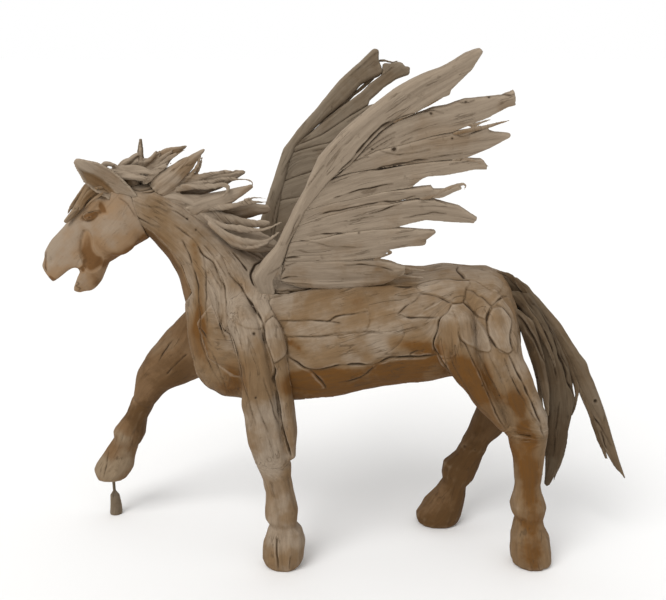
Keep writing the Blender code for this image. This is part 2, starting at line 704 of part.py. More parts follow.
def wing_board(name, upper, lower, thickness, frame, material):
    """A flat board of a wing, from its upper and its lower edge, root first."""
    lift = 1.0 / math.cos(WING_LEAN)
    outline = [Vector((x * UNIT, (z * UNIT - WING_ROOT_UP) * lift)) for x, z in list(upper) + list(reversed(lower))]
    outline = inset(outline, 0.5 * JOINT_GAP)
    shape = bpy.data.curves.new(name + "_outline", "CURVE")
    shape.dimensions = "2D"
    shape.fill_mode = "BOTH"
    shape.extrude = 0.5 * thickness
    line = shape.splines.new("POLY")
    line.points.add(len(outline) - 1)
    for point, corner in zip(line.points, outline):
        point.co = (corner.x, corner.y, 0.0, 1.0)
    line.use_cyclic_u = True
    pattern = bpy.data.objects.new(name + "_pattern", shape)
    parts.objects.link(pattern)
    bpy.context.view_layer.update()
    mesh = bpy.data.meshes.new_from_object(pattern.evaluated_get(bpy.context.evaluated_depsgraph_get()))
    form = bmesh.new()
    form.from_mesh(mesh)
    bmesh.ops.remove_doubles(form, verts=form.verts, dist=WELD)
    bmesh.ops.recalc_face_normals(form, faces=form.faces)
    form.to_mesh(mesh)
    form.free()
    bpy.data.objects.remove(pattern, do_unlink=True)
    board = add_object(name, mesh, material, frame)
    rounding = board.modifiers.new("rounding", "BEVEL")
    rounding.width = min(BOARD_EDGE, 0.3 * thickness)
    rounding.segments = 1
    rounding.limit_method = "ANGLE"
    rounding.angle_limit = math.radians(60.0)
    return board


SPAR_LOW = ((-17, 89), (-16, 95), (-13, 106), (-8, 117), (-1, 126), (5, 131))
SEAM_2 = ((5, 131), (12, 134.5), (20, 136.5), (27, 138.5))
SEAM_3 = ((-1, 126), (5, 128), (18, 130), (26, 131))
SEAM_4 = ((-8, 117), (-1, 119), (8, 121), (14, 122.5))
SEAM_5 = ((-10.3, 112), (-4, 114.5), (8, 118), (16, 119))
SEAM_6 = ((-12.5, 107), (-5, 108), (3, 110), (11, 111))
SEAM_7 = ((-14.3, 101), (-8, 101), (-1, 101), (6, 101))
near_wing = wing_frame("near_wing_frame", -1)
NEAR_WING = (
    ("near_wing_leading_board",
     ((-22.5, 89), (-21, 95), (-14, 111), (-8, 123), (-4, 132), (2, 139), (9, 145), (16, 150.5), (21, 153.3),
      (25.5, 155.5), (31, 158), (34, 160), (37, 160.5)),
     SPAR_LOW + ((9.5, 136), (13, 140), (17, 142.9), (22.5, 145), (25.2, 146.7), (27.5, 148.3), (31, 149.5),
                 (30.7, 150.7), (33.5, 153.5), (36, 156), (37.8, 160))),
    ("near_wing_feather_1",
     ((6, 131.8), (10, 136.2), (13.4, 139.8), (17.3, 142.5), (22.8, 144.5), (26.2, 145.7), (30, 146.4),
      (34.5, 148), (44, 149), (47.5, 150.5), (47.7, 148.5)),
     SEAM_2 + ((32.5, 139.7), (36.5, 141.5), (41.5, 143.5), (47, 146.5), (49, 147))),
    ("near_wing_feather_2",
     SEAM_2 + ((32.3, 139.3), (36.5, 140), (41.5, 141), (42, 139.7), (45.5, 139)),
     SEAM_3 + ((36.5, 132.2), (42, 134.7), (45.5, 136.5), (47.5, 138.3))),
    ("near_wing_feather_3",
     SEAM_3 + ((36.3, 131.9), (40.5, 132), (41.5, 130.5)),
     SEAM_4 + ((22, 123.8), (24.3, 126), (26, 127), (31, 127.5), (39, 129), (43, 129.2))),
    ("near_wing_feather_4",
     SEAM_4 + ((21.8, 123.4), (27.5, 124), (28, 123), (31.5, 123), (35.5, 124.7)),
     SEAM_5 + ((23.5, 120.7), (30, 120.7), (36.7, 123.5))),
    ("near_wing_feather_5",
     SEAM_5 + ((23.5, 120.2), (28.5, 120), (32.5, 118.7), (35.5, 118), (41, 114.3)),
     SEAM_6 + ((18, 111.8), (26.5, 114), (32, 113.5), (40.5, 113))),
    ("near_wing_feather_6",
     SEAM_6 + ((18, 111.4), (22.5, 111), (29.5, 110.5), (27.5, 109)),
     SEAM_7 + ((12.5, 101.8), (15, 102.5), (16.5, 104.5), (22, 105.5), (26.5, 106))),
    ("near_wing_feather_7",
     SEAM_7 + ((12.5, 101.3), (16.5, 100.3), (21, 98.7)),
     ((-15.8, 94.5), (-10, 92), (-1, 91.5), (8, 92), (15, 93), (21.5, 96.5))),
)
far_wing = wing_frame("far_wing_frame", 1)
FAR_SPAR_LOW = ((-20, 89), (-19.5, 101), (-18.5, 107), (-17.2, 113), (-16, 119), (-14.5, 124.5), (-12.4, 130.2),
                (-8, 134.5))
FAR_SEAM_2 = ((-12.4, 130.2), (-4, 133.5), (3, 138), (11.5, 143.2))
FAR_SEAM_3 = ((-13.2, 128), (-5, 130.5), (-1, 131.3), (3.3, 134.3))
FAR_SEAM_4 = ((-16, 119), (-6.2, 122.5), (2, 123.8))
FAR_SEAM_5 = ((-17.2, 113), (-9.1, 114.8), (4, 116))
FAR_WING = (
    ("far_wing_leading_board",
     ((-25, 89), (-24.2, 101), (-23.3, 107.5), (-21, 114), (-16, 129.5), (-11.4, 135.4), (-5.5, 141.5),
      (2.3, 150.8), (8.2, 155.9), (13.5, 160.5)),
     FAR_SPAR_LOW + ((-3, 139), (3.9, 144.4), (9.2, 150), (15.4, 153), (15.2, 156), (14.7, 158.5))),
    ("far_wing_feather_1",
     ((-11.6, 131.2), (-7.7, 134.2), (-2.8, 138.6), (4.2, 143.7), (9.4, 147.4), (12.1, 149.9), (15.9, 152.7),
      (16.2, 156.3), (21, 156.8), (25, 155.5)),
     FAR_SEAM_2 + ((12.1, 144.8), (16.4, 148.6), (21, 151.5), (25, 153))),
    ("far_wing_feather_2",
     FAR_SEAM_2 + ((18, 144.8), (26.6, 151.3)),
     FAR_SEAM_3 + ((14.7, 141.7), (27, 150))),
    ("far_wing_feather_3",
     FAR_SEAM_3 + ((4, 132),),
     FAR_SEAM_4 + ((6, 126.5),)),
    ("far_wing_feather_4",
     FAR_SEAM_4 + ((6, 121),),
     FAR_SEAM_5 + ((8, 118),)),
    ("far_wing_feather_5",
     FAR_SEAM_5 + ((7, 112),),
     ((-19.7, 93), (-11, 92), (-1, 93), (9, 99))),
)
for frame, boards in ((near_wing, NEAR_WING), (far_wing, FAR_WING)):
    for label, upper, lower in boards:
        leading = "leading" in label
        thickness = SPAR_BOARD if leading else FEATHER_BOARD
        plank = wing_board(label, upper, lower, thickness, frame, SUNNED if frame is near_wing else GREYED)
        if leading or label in ("near_wing_feather_7", "far_wing_feather_5"):
            cut(plank, hull)


def centre_on_ground():
    """Move the whole figure so that the middle of its footprint is at the origin."""
    bpy.context.view_layer.update()
    depsgraph = bpy.context.evaluated_depsgraph_get()
    low = Vector((1e9, 1e9, 1e9))
    high = -low
    for part in parts.objects:
        if part.type != "MESH":
            continue
        solid = part.evaluated_get(depsgraph)
        mesh = solid.to_mesh()
        for vertex in mesh.vertices:
            place = solid.matrix_world @ vertex.co
            low = Vector(map(min, low, place))
            high = Vector(map(max, high, place))
        solid.to_mesh_clear()
    root.location = (-0.5 * (low.x + high.x), -0.5 * (low.y + high.y), 0.0)


centre_on_ground()
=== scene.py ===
"""Looks of a standing winged horse built of weathered driftwood boards and carved blocks.

Every board of the frame is copied, made dense, eased, roughened along its own grain and
carved with the splits and joints that the photograph shows. Splinters, wisps of mane and
laths of tail are added as pieces of their own. All sizes are in metres.
"""

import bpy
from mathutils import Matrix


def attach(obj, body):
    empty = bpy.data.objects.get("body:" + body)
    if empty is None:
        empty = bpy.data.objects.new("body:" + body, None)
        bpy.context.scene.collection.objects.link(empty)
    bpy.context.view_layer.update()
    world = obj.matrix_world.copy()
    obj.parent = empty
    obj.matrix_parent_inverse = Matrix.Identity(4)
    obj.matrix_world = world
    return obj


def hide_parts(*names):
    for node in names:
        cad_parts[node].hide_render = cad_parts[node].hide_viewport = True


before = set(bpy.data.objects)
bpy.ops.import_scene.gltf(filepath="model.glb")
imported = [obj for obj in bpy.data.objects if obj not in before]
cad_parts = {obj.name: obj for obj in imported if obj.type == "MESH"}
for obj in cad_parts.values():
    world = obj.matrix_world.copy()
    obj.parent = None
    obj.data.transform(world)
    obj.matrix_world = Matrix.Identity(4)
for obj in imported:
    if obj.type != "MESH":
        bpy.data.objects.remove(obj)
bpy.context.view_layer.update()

import logging
import math
from collections.abc import Callable
from dataclasses import dataclass
from enum import Enum

import bpy
import numpy as np
from mathutils import Vector
from mathutils.bvhtree import BVHTree

log = logging.getLogger("winged_horse")

Names = tuple[str, ...]
Path = tuple[float, ...]
Colour = tuple[float, float, float]

# The photograph's frame and the camera that took it
IMAGE_WIDTH = 666
IMAGE_HEIGHT = 600
LENS_MM = 50.0
FILM_MM = 36.0
CAMERA_TILT = math.radians(75.0)
CAMERA_PLACE = (-0.032326, -2.79949, 1.60)
FOCAL_PIXELS = LENS_MM / FILM_MM * IMAGE_WIDTH
EYE = np.array(CAMERA_PLACE)
AHEAD = np.array((0.0, math.sin(CAMERA_TILT), -math.cos(CAMERA_TILT)))
OVER = np.array((0.0, math.cos(CAMERA_TILT), math.sin(CAMERA_TILT)))
RIGHT = np.array((1.0, 0.0, 0.0))

# The drawn figure of the frame is in centimetres from this point
FIGURE_ORIGIN = np.array((-0.032326, 0.000510, 0.0))

# How finely the wood is carved, from the side that is seen to the side that is not
FINE = 0.0024
NEAR = 0.0034
SEEN = 0.0031
MIDDLE = 0.0042
FAR = 0.0054

# How drawn marks are cut: how far off they are looked for and stray, and how a groove falls off
SPLIT_FAR_AWAY = 0.03
PIXELS_ROUND_A_MARK = 7.0
STRAY_PIXELS = 1.0
STRAYS_TO_A_METRE = 34.0
CORNERS_TO_A_RUN = 3
GROOVE_SPREAD = 1.5
GROOVE_RIM = 0.0012
GROOVE_SHARE = 0.62
FULL_DEPTH_WIDTH = 0.002
PATCH_JOINT_DEPTH = 0.0050

# How a wisp or splinter is built
STRAND_SIDES = 10
STRAND_RINGS = 30
STRAND_FLATNESS = 0.55
STRAND_FULLNESS = 0.55

# How quickly facets ease, and what holds them: edges, the boards of a leg, and crisp parts
EASING = 0.62
EDGE_EASE = 0.03
LIMB_EASE = 0.55
CRISP_HOLD = 0.84

# How softly the grain of one node gives way to the next's, in metres
GRAIN_BLEND = 0.010

# How quickly soft forms and moves fade from where they are drawn, and the rim of a pressed hollow
SWELLING_FALL = 2.2
NUDGE_FALL = 2.0
HOLLOW_RIM = 0.014

# How far round it a point is compared to find edges, and how proud the sharpest edge stands
EDGE_ROUNDS = 6
SHARPEST_EDGE = 0.0016

# How much paler the wood is where it faces up and darker where it faces down, as sun bleaching and as painted
# light above and painted shade beneath; and how much it varies by chance
SKYLIGHT_AND_BLEACHING = 0.34
PATCHY = 0.30
BLEACHED_PATCHES_TO_A_METRE = 5.5

CENTIMETRE = 0.01

# The most triangles that a piece of each kind keeps
MOST_TRIANGLES = 12000
FEW_TRIANGLES = 6000
NECK_TRIANGLES = 154000
FLANK_TRIANGLES = 178000
STAVE_TRIANGLES = 10000
HEAD_TRIANGLES = 60000
TUFT_TRIANGLES = 14000
WISP_TRIANGLES = 24000
LEG_TRIANGLES = 28000
LEADING_TRIANGLES = 26000
NEAR_TRIANGLES = 17000
FAR_TRIANGLES = 9000

ORIGIN = np.zeros(3)
SIDEWAYS = np.array((0.0, 1.0, 0.0))


class Form(Enum):
    """What kind of timber a piece is, which settles how marks are cut in it."""

    STAVE = "stave of the trunk"
    PLANK = "flat plank of a wing"
    BLOCK = "rounded block or lock"


# Numbers over a mesh


def smooth_step(low: float, high: float, value: np.ndarray) -> np.ndarray:
    """Return 0 below low, 1 above high and a smooth rise between."""
    share = np.clip((value - low) / (high - low), 0.0, 1.0)
    return share * share * (3.0 - 2.0 * share)


def unit_rows(rows: np.ndarray, least: float = 1e-9) -> np.ndarray:
    """Scale every row to a length of 1."""
    return rows / np.maximum(np.linalg.norm(rows, axis=1), least)[:, None]


class WoodNoise:
    """Smooth seeded noise from a lattice of numbers, for moving the points of a mesh."""

    SIDE = 32

    def __init__(self, seed: int) -> None:
        """Fill the lattice.

        Args:
            seed: Number that gives the same lattice each time.
        """
        self.lattice = np.random.default_rng(seed).uniform(-1.0, 1.0, (self.SIDE,) * 3)

    def at(self, places: np.ndarray) -> np.ndarray:
        """Read the noise.

        Args:
            places: Points, one row each, with a lattice step of 1.

        Returns:
            One value from -1 to 1 for each point.
        """
        cell = np.floor(places).astype(int)
        part = places - cell
        part = part * part * (3.0 - 2.0 * part)
        total = np.zeros(len(places))
        for corner in np.ndindex(2, 2, 2):
            weight = np.ones(len(places))
            for axis in range(3):
                weight = weight * (part[:, axis] if corner[axis] else 1.0 - part[:, axis])
            index = (cell + np.array(corner)) % self.SIDE
            total += weight * self.lattice[index[:, 0], index[:, 1], index[:, 2]]
        return total

    def layered(self, places: np.ndarray, layers: int = 3) -> np.ndarray:
        """Read several layers of the noise, each twice as fine and half as strong."""
        return sum(self.at(places * 2.0 ** k + 7.3 * k) / 2.0 ** k for k in range(layers)) / 1.6

    def drift(self, places: np.ndarray) -> np.ndarray:
        """Read a vector of noise at each point."""
        return np.stack([self.at(places + 11.7 * (k + 1)) for k in range(3)], axis=1)


FORM_NOISE = WoodNoise(3)
GRAIN_NOISE = WoodNoise(11)
TINT_NOISE = WoodNoise(29)


def on_photograph(points: np.ndarray) -> tuple[np.ndarray, np.ndarray]:
    """Find where points fall on the photograph.

    Args:
        points: Places in the frame, one row each.

    Returns:
        Their pixels, and the size of a pixel in metres at each.
    """
    sight = points - EYE
    depth = sight @ AHEAD
    across = IMAGE_WIDTH / 2 + FOCAL_PIXELS * sight[:, 0] / depth
    down = IMAGE_HEIGHT / 2 - FOCAL_PIXELS * (sight @ OVER) / depth
    return np.stack([across, down], axis=1), depth / FOCAL_PIXELS


def sight_to_plane(pixel: np.ndarray, on_plane: np.ndarray, facing: np.ndarray) -> np.ndarray:
    """Find where the sight through a pixel meets a plane.

    Args:
        pixel: Pixel of the photograph.
        on_plane: A point of the plane.
        facing: The way that the plane faces.

    Returns:
        The place in the frame.
    """
    across = (pixel[0] - IMAGE_WIDTH / 2) / FOCAL_PIXELS
    upward = (IMAGE_HEIGHT / 2 - pixel[1]) / FOCAL_PIXELS
    sight = AHEAD + across * RIGHT + upward * OVER
    return EYE + sight * (((on_plane - EYE) @ facing) / (sight @ facing))


def inside(points: np.ndarray, outline: np.ndarray) -> np.ndarray:
    """Say which flat points lie inside an outline."""
    result = np.zeros(len(points), dtype=bool)
    for one, other in zip(outline, np.roll(outline, -1, axis=0)):
        spans = (one[1] > points[:, 1]) != (other[1] > points[:, 1])
        rise = other[1] - one[1]
        if abs(rise) < 1e-9:
            continue
        result ^= spans & (points[:, 0] < (other[0] - one[0]) * (points[:, 1] - one[1]) / rise + one[0])
    return result


def path_distance(points: np.ndarray, path: np.ndarray) -> tuple[np.ndarray, np.ndarray]:
    """Measure how far points are from a path of straight runs.

    Args:
        points: Points of two or three numbers, one row each.
        path: Corners of the path, one row each.

    Returns:
        The distance of each point, and its share of the way along the path.
    """
    runs = np.linalg.norm(np.diff(path, axis=0), axis=1)
    starts = np.concatenate([[0.0], np.cumsum(runs)])
    nearest = np.full(len(points), np.inf)
    share = np.zeros(len(points))
    for k, length in enumerate(runs):
        step = path[k + 1] - path[k]
        place = np.clip((points - path[k]) @ step / max(length ** 2, 1e-12), 0.0, 1.0)
        gap = np.linalg.norm(points - (path[k] + place[:, None] * step), axis=1)
        closer = gap < nearest
        nearest[closer] = gap[closer]
        share[closer] = (starts[k] + place[closer] * length) / starts[-1]
    return nearest, share


# Drawn marks


def corners_of(path: Path) -> np.ndarray:
    """Set a drawn path out as its corners, one row each."""
    return np.array(path, dtype=float).reshape(-1, 2)


@dataclass(frozen=True)
class Split:
    """A crack or joint drawn on the photograph.

    Attributes:
        path: Its corners in pixels, across and down by turns.
        half_width: Half its width in metres at the middle.
        depth: How deep it is cut, in metres.
    """

    path: Path
    half_width: float = 0.0030
    depth: float = 0.008


@dataclass(frozen=True)
class Knot:
    """A knot or hole drawn on the photograph, with its pixel, its radius and its depth."""

    path: tuple[float, float]
    radius: float = 0.006
    depth: float = 0.004


@dataclass(frozen=True)
class Patch:
    """A board or cobble whose outline is drawn on the photograph.

    Attributes:
        outline: Its corners in pixels, across and down by turns.
        rise: How far its middle stands proud of the joints, in metres.
        sun: How much paler it is, or darker where it is less than nothing.
        joint: Half the width of the joint round it, or 0 for none.
        rim: How wide its rounded rim is.
        blend: How softly its tint begins at its rim.
    """

    outline: Path
    rise: float = 0.0025
    sun: float = 0.0
    joint: float = 0.0
    rim: float = 0.012
    blend: float = 0.003


@dataclass(frozen=True)
class Swelling:
    """A soft rise or hollow drawn on the photograph.

    Attributes:
        path: Its corners in pixels, across and down by turns; one corner or more.
        reach: How far it spreads, in metres.
        height: How far it rises, or sinks where it is less than nothing.
        stain: How much darker it is than the wood round it, from stains in the wood and from painted shade in
            hollows and on the lower parts.
    """

    path: Path
    reach: float
    height: float
    stain: float = 0.0


@dataclass(frozen=True)
class Nudge:
    """A place of the outline that is moved on the photograph.

    Attributes:
        x: How many pixels across the picture it is.
        y: How many pixels down the picture it is.
        across: How many pixels it moves across.
        down: How many pixels it moves down.
        reach: How many pixels away the move is still felt.
    """

    x: float
    y: float
    across: float
    down: float
    reach: float


@dataclass(frozen=True)
class Strand:
    """A wisp or splinter drawn on the photograph.

    Attributes:
        path: Its corners in pixels, across and down by turns, from its root.
        aside: Where its root and its tip lie to the horse's far side, in metres.
        thick: Half its thickness at the root, in metres.
        tip: Half its thickness at the tip.
        copies: How many are grown side by side.
        spread: How far the copies stand apart.
    """

    path: Path
    aside: tuple[float, float] = (0.0, 0.0)
    thick: float = 0.006
    tip: float = 0.0012
    copies: int = 1
    spread: float = 0.012


Marks = tuple[Split | Knot | Patch, ...]
Swellings = tuple[Swelling, ...]
Nudges = tuple[Nudge, ...]
Strands = tuple[Strand, ...]


# Modelling


def only(piece: bpy.types.Object) -> None:
    """Leave one object selected and active."""
    bpy.ops.object.select_all(action="DESELECT")
    piece.select_set(True)
    bpy.context.view_layer.objects.active = piece


def apply_modifier(piece: bpy.types.Object, kind: str, **settings: object) -> None:
    """Add a modifier with its settings and apply it.

    Args:
        piece: Object to change.
        kind: Blender's name of the modifier.
        **settings: Values that the modifier gets.
    """
    only(piece)
    modifier = piece.modifiers.new(kind.lower(), kind)
    for name, value in settings.items():
        setattr(modifier, name, value)
    bpy.ops.object.modifier_apply(modifier=modifier.name)


def rows_of(items: bpy.types.bpy_prop_collection, label: str, width: int, kind: type = float) -> np.ndarray:
    """Read a value of every item of a mesh, one row each."""
    values = np.empty(len(items) * width, dtype=kind)
    items.foreach_get(label, values)
    return values.reshape(-1, width)


def in_edit_mode(piece: bpy.types.Object, *changes: Callable[[], object]) -> None:
    """Make changes to the whole mesh of an object in edit mode."""
    only(piece)
    bpy.ops.object.mode_set(mode="EDIT")
    bpy.ops.mesh.select_all(action="SELECT")
    for change in changes:
        change()
    bpy.ops.object.mode_set(mode="OBJECT")


def joined(pieces: list[bpy.types.Object], name: str) -> bpy.types.Object:
    """Join objects into the first of them, and give it a name and no materials."""
    bpy.ops.object.select_all(action="DESELECT")
    for piece in pieces:
        piece.select_set(True)
    bpy.context.view_layer.objects.active = pieces[0]
    if len(pieces) > 1:
        bpy.ops.object.join()
    whole = bpy.context.view_layer.objects.active
    whole.name = name
    whole.data.name = name
    whole.data.materials.clear()
    return whole


def copied(name: str, nodes: Names, swell: float = 0.0) -> bpy.types.Object:
    """Copy nodes of the frame into one new object with its doubles merged.

    Args:
        name: Name of the new object.
        nodes: Nodes to copy.
        swell: How far each copy grows, so that joints between them close.

    Returns:
        The new object, with its place in its mesh.
    """
    changes = [lambda: bpy.ops.mesh.remove_doubles(threshold=0.00002)]
    if swell:
        changes.append(lambda: bpy.ops.transform.shrink_fatten(value=swell))
    copies = []
    for node in nodes:
        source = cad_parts[node]
        copy = bpy.data.objects.new(f"{name}_{node}", source.data.copy())
        bpy.context.scene.collection.objects.link(copy)
        in_edit_mode(copy, *changes)
        copies.append(copy)
    return joined(copies, name)


def smooth_run(corners: np.ndarray, places: np.ndarray) -> np.ndarray:
    """Follow a smooth run through corners.

    Args:
        corners: Its corners, one row each.
        places: Shares of the way along it, from 0 to 1.

    Returns:
        A point of the run at each share.
    """
    padded = np.vstack([2 * corners[0] - corners[1], corners, 2 * corners[-1] - corners[-2]])
    along = np.clip(places, 0.0, 0.99999) * (len(corners) - 1)
    first = along.astype(int)
    part = (along - first)[:, None]
    before, start, end, after = (padded[first + k] for k in range(4))
    bend = 2 * before - 5 * start + 4 * end - after
    twist = 3 * start - before - 3 * end + after
    return 0.5 * (2 * start + (end - before) * part + bend * part ** 2 + twist * part ** 3)


def grown(
    name: str, strands: Strands, seed: int, beside: np.ndarray = ORIGIN, facing: np.ndarray = SIDEWAYS
) -> bpy.types.Object:
    """Grow wisps or splinters along their drawn paths, as one new object.

    Args:
        name: Name of the new object.
        strands: What is grown.
        seed: Number that settles how the copies of a strand differ.
        beside: A point of the plane that the strands are measured from.
        facing: The way that this plane faces.

    Returns:
        The new object, with its place in its mesh.
    """
    chance = np.random.default_rng(seed)
    pieces = []
    for strand in strands:
        pixels = corners_of(strand.path)
        depths = np.linspace(strand.aside[0], strand.aside[1], len(pixels))
        places = beside + depths[:, None] * facing
        drawn = np.array([sight_to_plane(pixel, place, facing) for pixel, place in zip(pixels, places)])
        for copy in range(strand.copies):
            stray = chance.normal(0.0, 0.5, (1, 3)) + chance.normal(0.0, 0.45, drawn.shape)
            corners = drawn + (strand.spread * stray if copy else 0.0)
            bpy.ops.object.select_all(action="DESELECT")
            bpy.ops.mesh.primitive_uv_sphere_add(segments=STRAND_SIDES, ring_count=STRAND_RINGS, radius=1.0)
            piece = bpy.context.object
            ball = rows_of(piece.data.vertices, "co", 3)
            share = 0.5 + 0.5 * ball[:, 2]
            middle = smooth_run(corners, share)
            run = unit_rows(smooth_run(corners, share + 0.01) - smooth_run(corners, share - 0.01))
            over = unit_rows(np.cross(run, facing))
            ring = np.maximum(np.linalg.norm(ball[:, :2], axis=1), 1e-6)
            full = ring ** STRAND_FULLNESS * (strand.thick + (strand.tip - strand.thick) * share) / ring
            full = full * np.where(ring > 1e-4, 1.0, 0.0) * chance.uniform(0.8, 1.15)
            points = middle + (ball[:, 0] * full)[:, None] * over
            points += (STRAND_FLATNESS * ball[:, 1] * full)[:, None] * np.cross(over, run)
            piece.data.vertices.foreach_set("co", points.ravel())
            piece.data.update()
            pieces.append(piece)
    whole = joined(pieces, name)
    in_edit_mode(whole, lambda: bpy.ops.mesh.normals_make_consistent(inside=False))
    return whole


class Carving:
    """A piece of wood being shaped: its points, and what is kept at each of them."""

    def __init__(
        self, piece: bpy.types.Object, voxel: float, form: Form = Form.BLOCK, groups: tuple[Names, ...] = ()
    ) -> None:
        """Make the piece dense and read its points.

        Args:
            piece: Closed mesh to carve.
            voxel: Size of its new faces.
            form: What kind of timber it is.
            groups: Nodes whose grain runs together, where the piece holds several such groups.
        """
        self.piece = piece
        self.form = form
        self.voxel = voxel
        self.seed = sum(ord(letter) * (k + 3) for k, letter in enumerate(piece.name)) % 9973
        apply_modifier(piece, "REMESH", mode="VOXEL", voxel_size=voxel, use_smooth_shade=True)
        self.edges = rows_of(piece.data.edges, "vertices", 2, np.int64)
        self.points = rows_of(piece.data.vertices, "co", 3)
        self.read_normals()
        self.belongs = self.nearness(groups) if groups else np.ones((len(self.points), 1))
        self.grain = self.grain_places()
        self.split = np.full(len(self.points), SPLIT_FAR_AWAY)
        # Darkening from stains and painted shade at each point
        self.stain = np.zeros(len(self.points))

    def read_normals(self) -> None:
        """Read the way that each point faces."""
        mesh = self.piece.data
        mesh.vertices.foreach_set("co", self.points.ravel())
        mesh.update()
        self.normals = rows_of(mesh.vertices, "normal", 3)

    def nearness(self, groups: tuple[Names, ...]) -> np.ndarray:
        """Weigh how much each point belongs to each group of nodes, by its distance from them."""
        gaps = np.empty((len(self.points), len(groups)))
        for k, group in enumerate(groups):
            corners: list[tuple[float, float, float]] = []
            faces: list[tuple[int, ...]] = []
            for node in group:
                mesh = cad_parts[node].data
                first = len(corners)
                corners += [tuple(corner.co) for corner in mesh.vertices]
                faces += [tuple(first + index for index in face.vertices) for face in mesh.polygons]
            tree = BVHTree.FromPolygons(corners, faces)
            gaps[:, k] = [tree.find_nearest(point)[3] for point in self.points.tolist()]
        weights = np.exp(-(gaps - gaps.min(axis=1, keepdims=True)) / GRAIN_BLEND)
        return weights / weights.sum(axis=1, keepdims=True)

    def grain_places(self) -> np.ndarray:
        """Find each point's place along, across and into the grain of the piece.

        Returns:
            Metres along the piece's bent centre line, and off it in two directions.
        """
        blended = np.zeros_like(self.points)
        first = None
        for k in range(self.belongs.shape[1]):
            own = self.belongs[:, k] > 0.5
            middle = self.points[own].mean(axis=0)
            axes = np.linalg.eigh(np.cov((self.points[own] - middle).T))[1][:, ::-1].T
            local = (self.points - middle) @ axes.T
            half_length = float(np.abs(local[own, 0]).max())
            if first is not None:
                axes *= np.where((axes * self.axes).sum(axis=1) < 0.0, -1.0, 1.0)[:, None]
                local = (self.points - middle) @ axes.T
            share = np.clip(local[:, 0] / half_length, -1.0, 1.0)
            for m in (1, 2):
                bend = np.polyfit(share[own], local[own, m], 3)
                local[:, m] -= np.polyval(bend, share)
            if first is None:
                first, self.axes, self.half_length = local, axes, half_length
            else:
                meets = np.minimum(self.belongs[:, 0], self.belongs[:, k])
                meets = meets if meets.max() > 0.2 else self.belongs[:, k]
                local += ((first - local) * meets[:, None]).sum(axis=0) / meets.sum()
            blended += self.belongs[:, k:k + 1] * local
        return blended

    def mean_beside(self, values: np.ndarray) -> np.ndarray:
        """Average the values of the points beside each point."""
        count = len(self.points)
        one, other = self.edges[:, 0], self.edges[:, 1]
        beside = np.bincount(one, minlength=count) + np.bincount(other, minlength=count)
        sums = [np.bincount(one, values[other, k], count) + np.bincount(other, values[one, k], count)
                for k in range(values.shape[1])]
        return np.stack(sums, axis=1) / np.maximum(beside, 1)[:, None]

    def ease(
        self, spread: float, regain: float = 0.0, outward: np.ndarray | None = None,
        crisp: np.ndarray | float = 0.0,
    ) -> "Carving":
        """Ease flat facets into a rounded form.

        Args:
            spread: How far each facet is blended with what is round it, in metres.
            regain: How far the form is swelled again afterwards.
            outward: Way out at each point; faces that look another way keep their edges.
            crisp: 1 at points that keep a crisper form, such as those of a hoof, and 0 at others.

        Returns:
            The carving.
        """
        hold = np.ones(len(self.points))
        if outward is not None:
            own = self.belongs[:, 0]
            faces_out = smooth_step(0.70, 0.96, np.abs((self.normals * outward).sum(axis=1)))
            hold = own * (EDGE_EASE + (1.0 - EDGE_EASE) * faces_out) + (1.0 - own) * LIMB_EASE
        hold = hold * (1.0 - CRISP_HOLD * crisp)
        for _ in range(max(2, round(2.0 * (spread / self.voxel) ** 2 / EASING))):
            self.points += EASING * hold[:, None] * (self.mean_beside(self.points) - self.points)
        self.read_normals()
        self.points += regain * self.normals
        return self

    def push(self, amount: np.ndarray) -> "Carving":
        """Move every point along its normal by its own amount."""
        self.points += self.normals * amount[:, None]
        return self

    def roughen(self, amount: float, along: float, across: float, layers: int = 3) -> "Carving":
        """Raise streaks that follow the grain.

        Args:
            amount: Height of the streaks in metres.
            along: Streaks to a metre along the grain.
            across: Streaks to a metre across it.
            layers: How many finer layers are added.

        Returns:
            The carving.
        """
        scale = np.array((along, across, across))
        return self.push(amount * GRAIN_NOISE.layered(self.grain * scale + self.seed * 0.37, layers))

    def hew(self, amount: float, size: float) -> "Carving":
        """Make the soft dents and rises of hand-cut wood, whatever the grain."""
        return self.push(amount * FORM_NOISE.layered(self.points / size + self.seed * 0.11, 2))

    def fray(self, amount: float, reach: float, across: float = 70.0, free: float = 0.0) -> "Carving":
        """Draw both ends in by uneven amounts, as broken wood ends.

        Args:
            amount: The deepest notch.
            reach: How far from an end its notches are felt.
            across: Splinters to a metre across the end.
            free: 1 where only the end towards +X is free, -1 for the other, 0 for both.

        Returns:
            The carving.
        """
        along = self.grain[:, 0]
        for sign in (-1.0, 1.0):
            if free * sign * self.axes[0, 0] < 0:
                continue
            tip = (sign * along).max()
            near_end = smooth_step(tip - reach, tip, sign * along)
            place = self.grain * np.array((0.0, across, 12.0)) + np.array((sign * 5.0, 0.0, 0.0))
            notch = amount * (0.15 + 0.75 * GRAIN_NOISE.layered(place + self.seed, 2))
            self.points -= sign * (near_end * notch)[:, None] * self.axes[0]
        return self

    def split_at(
        self, distance: np.ndarray, half_width: np.ndarray, depth: float, weight: np.ndarray,
        where: np.ndarray | slice = slice(None),
    ) -> None:
        """Cut a groove where a distance is small.

        Args:
            distance: Metres from the middle of the groove at each point.
            half_width: Half its width at each point.
            depth: How deep it is.
            weight: 1 where the groove is cut, 0 where it isn't.
            where: Which points are given.
        """
        width = np.maximum(half_width, 1e-4)
        shape = np.clip(1.0 - (distance / (GROOVE_SPREAD * width + GROOVE_RIM)) ** 2, 0.0, 1.0) ** 1.5
        cut = GROOVE_SHARE * depth * shape * weight * np.clip(width / FULL_DEPTH_WIDTH, 0.0, 1.0)
        self.points[where] -= self.normals[where] * cut[:, None]
        gap = np.where(weight > 0.35, distance - width, SPLIT_FAR_AWAY)
        self.split[where] = np.minimum(self.split[where], gap)

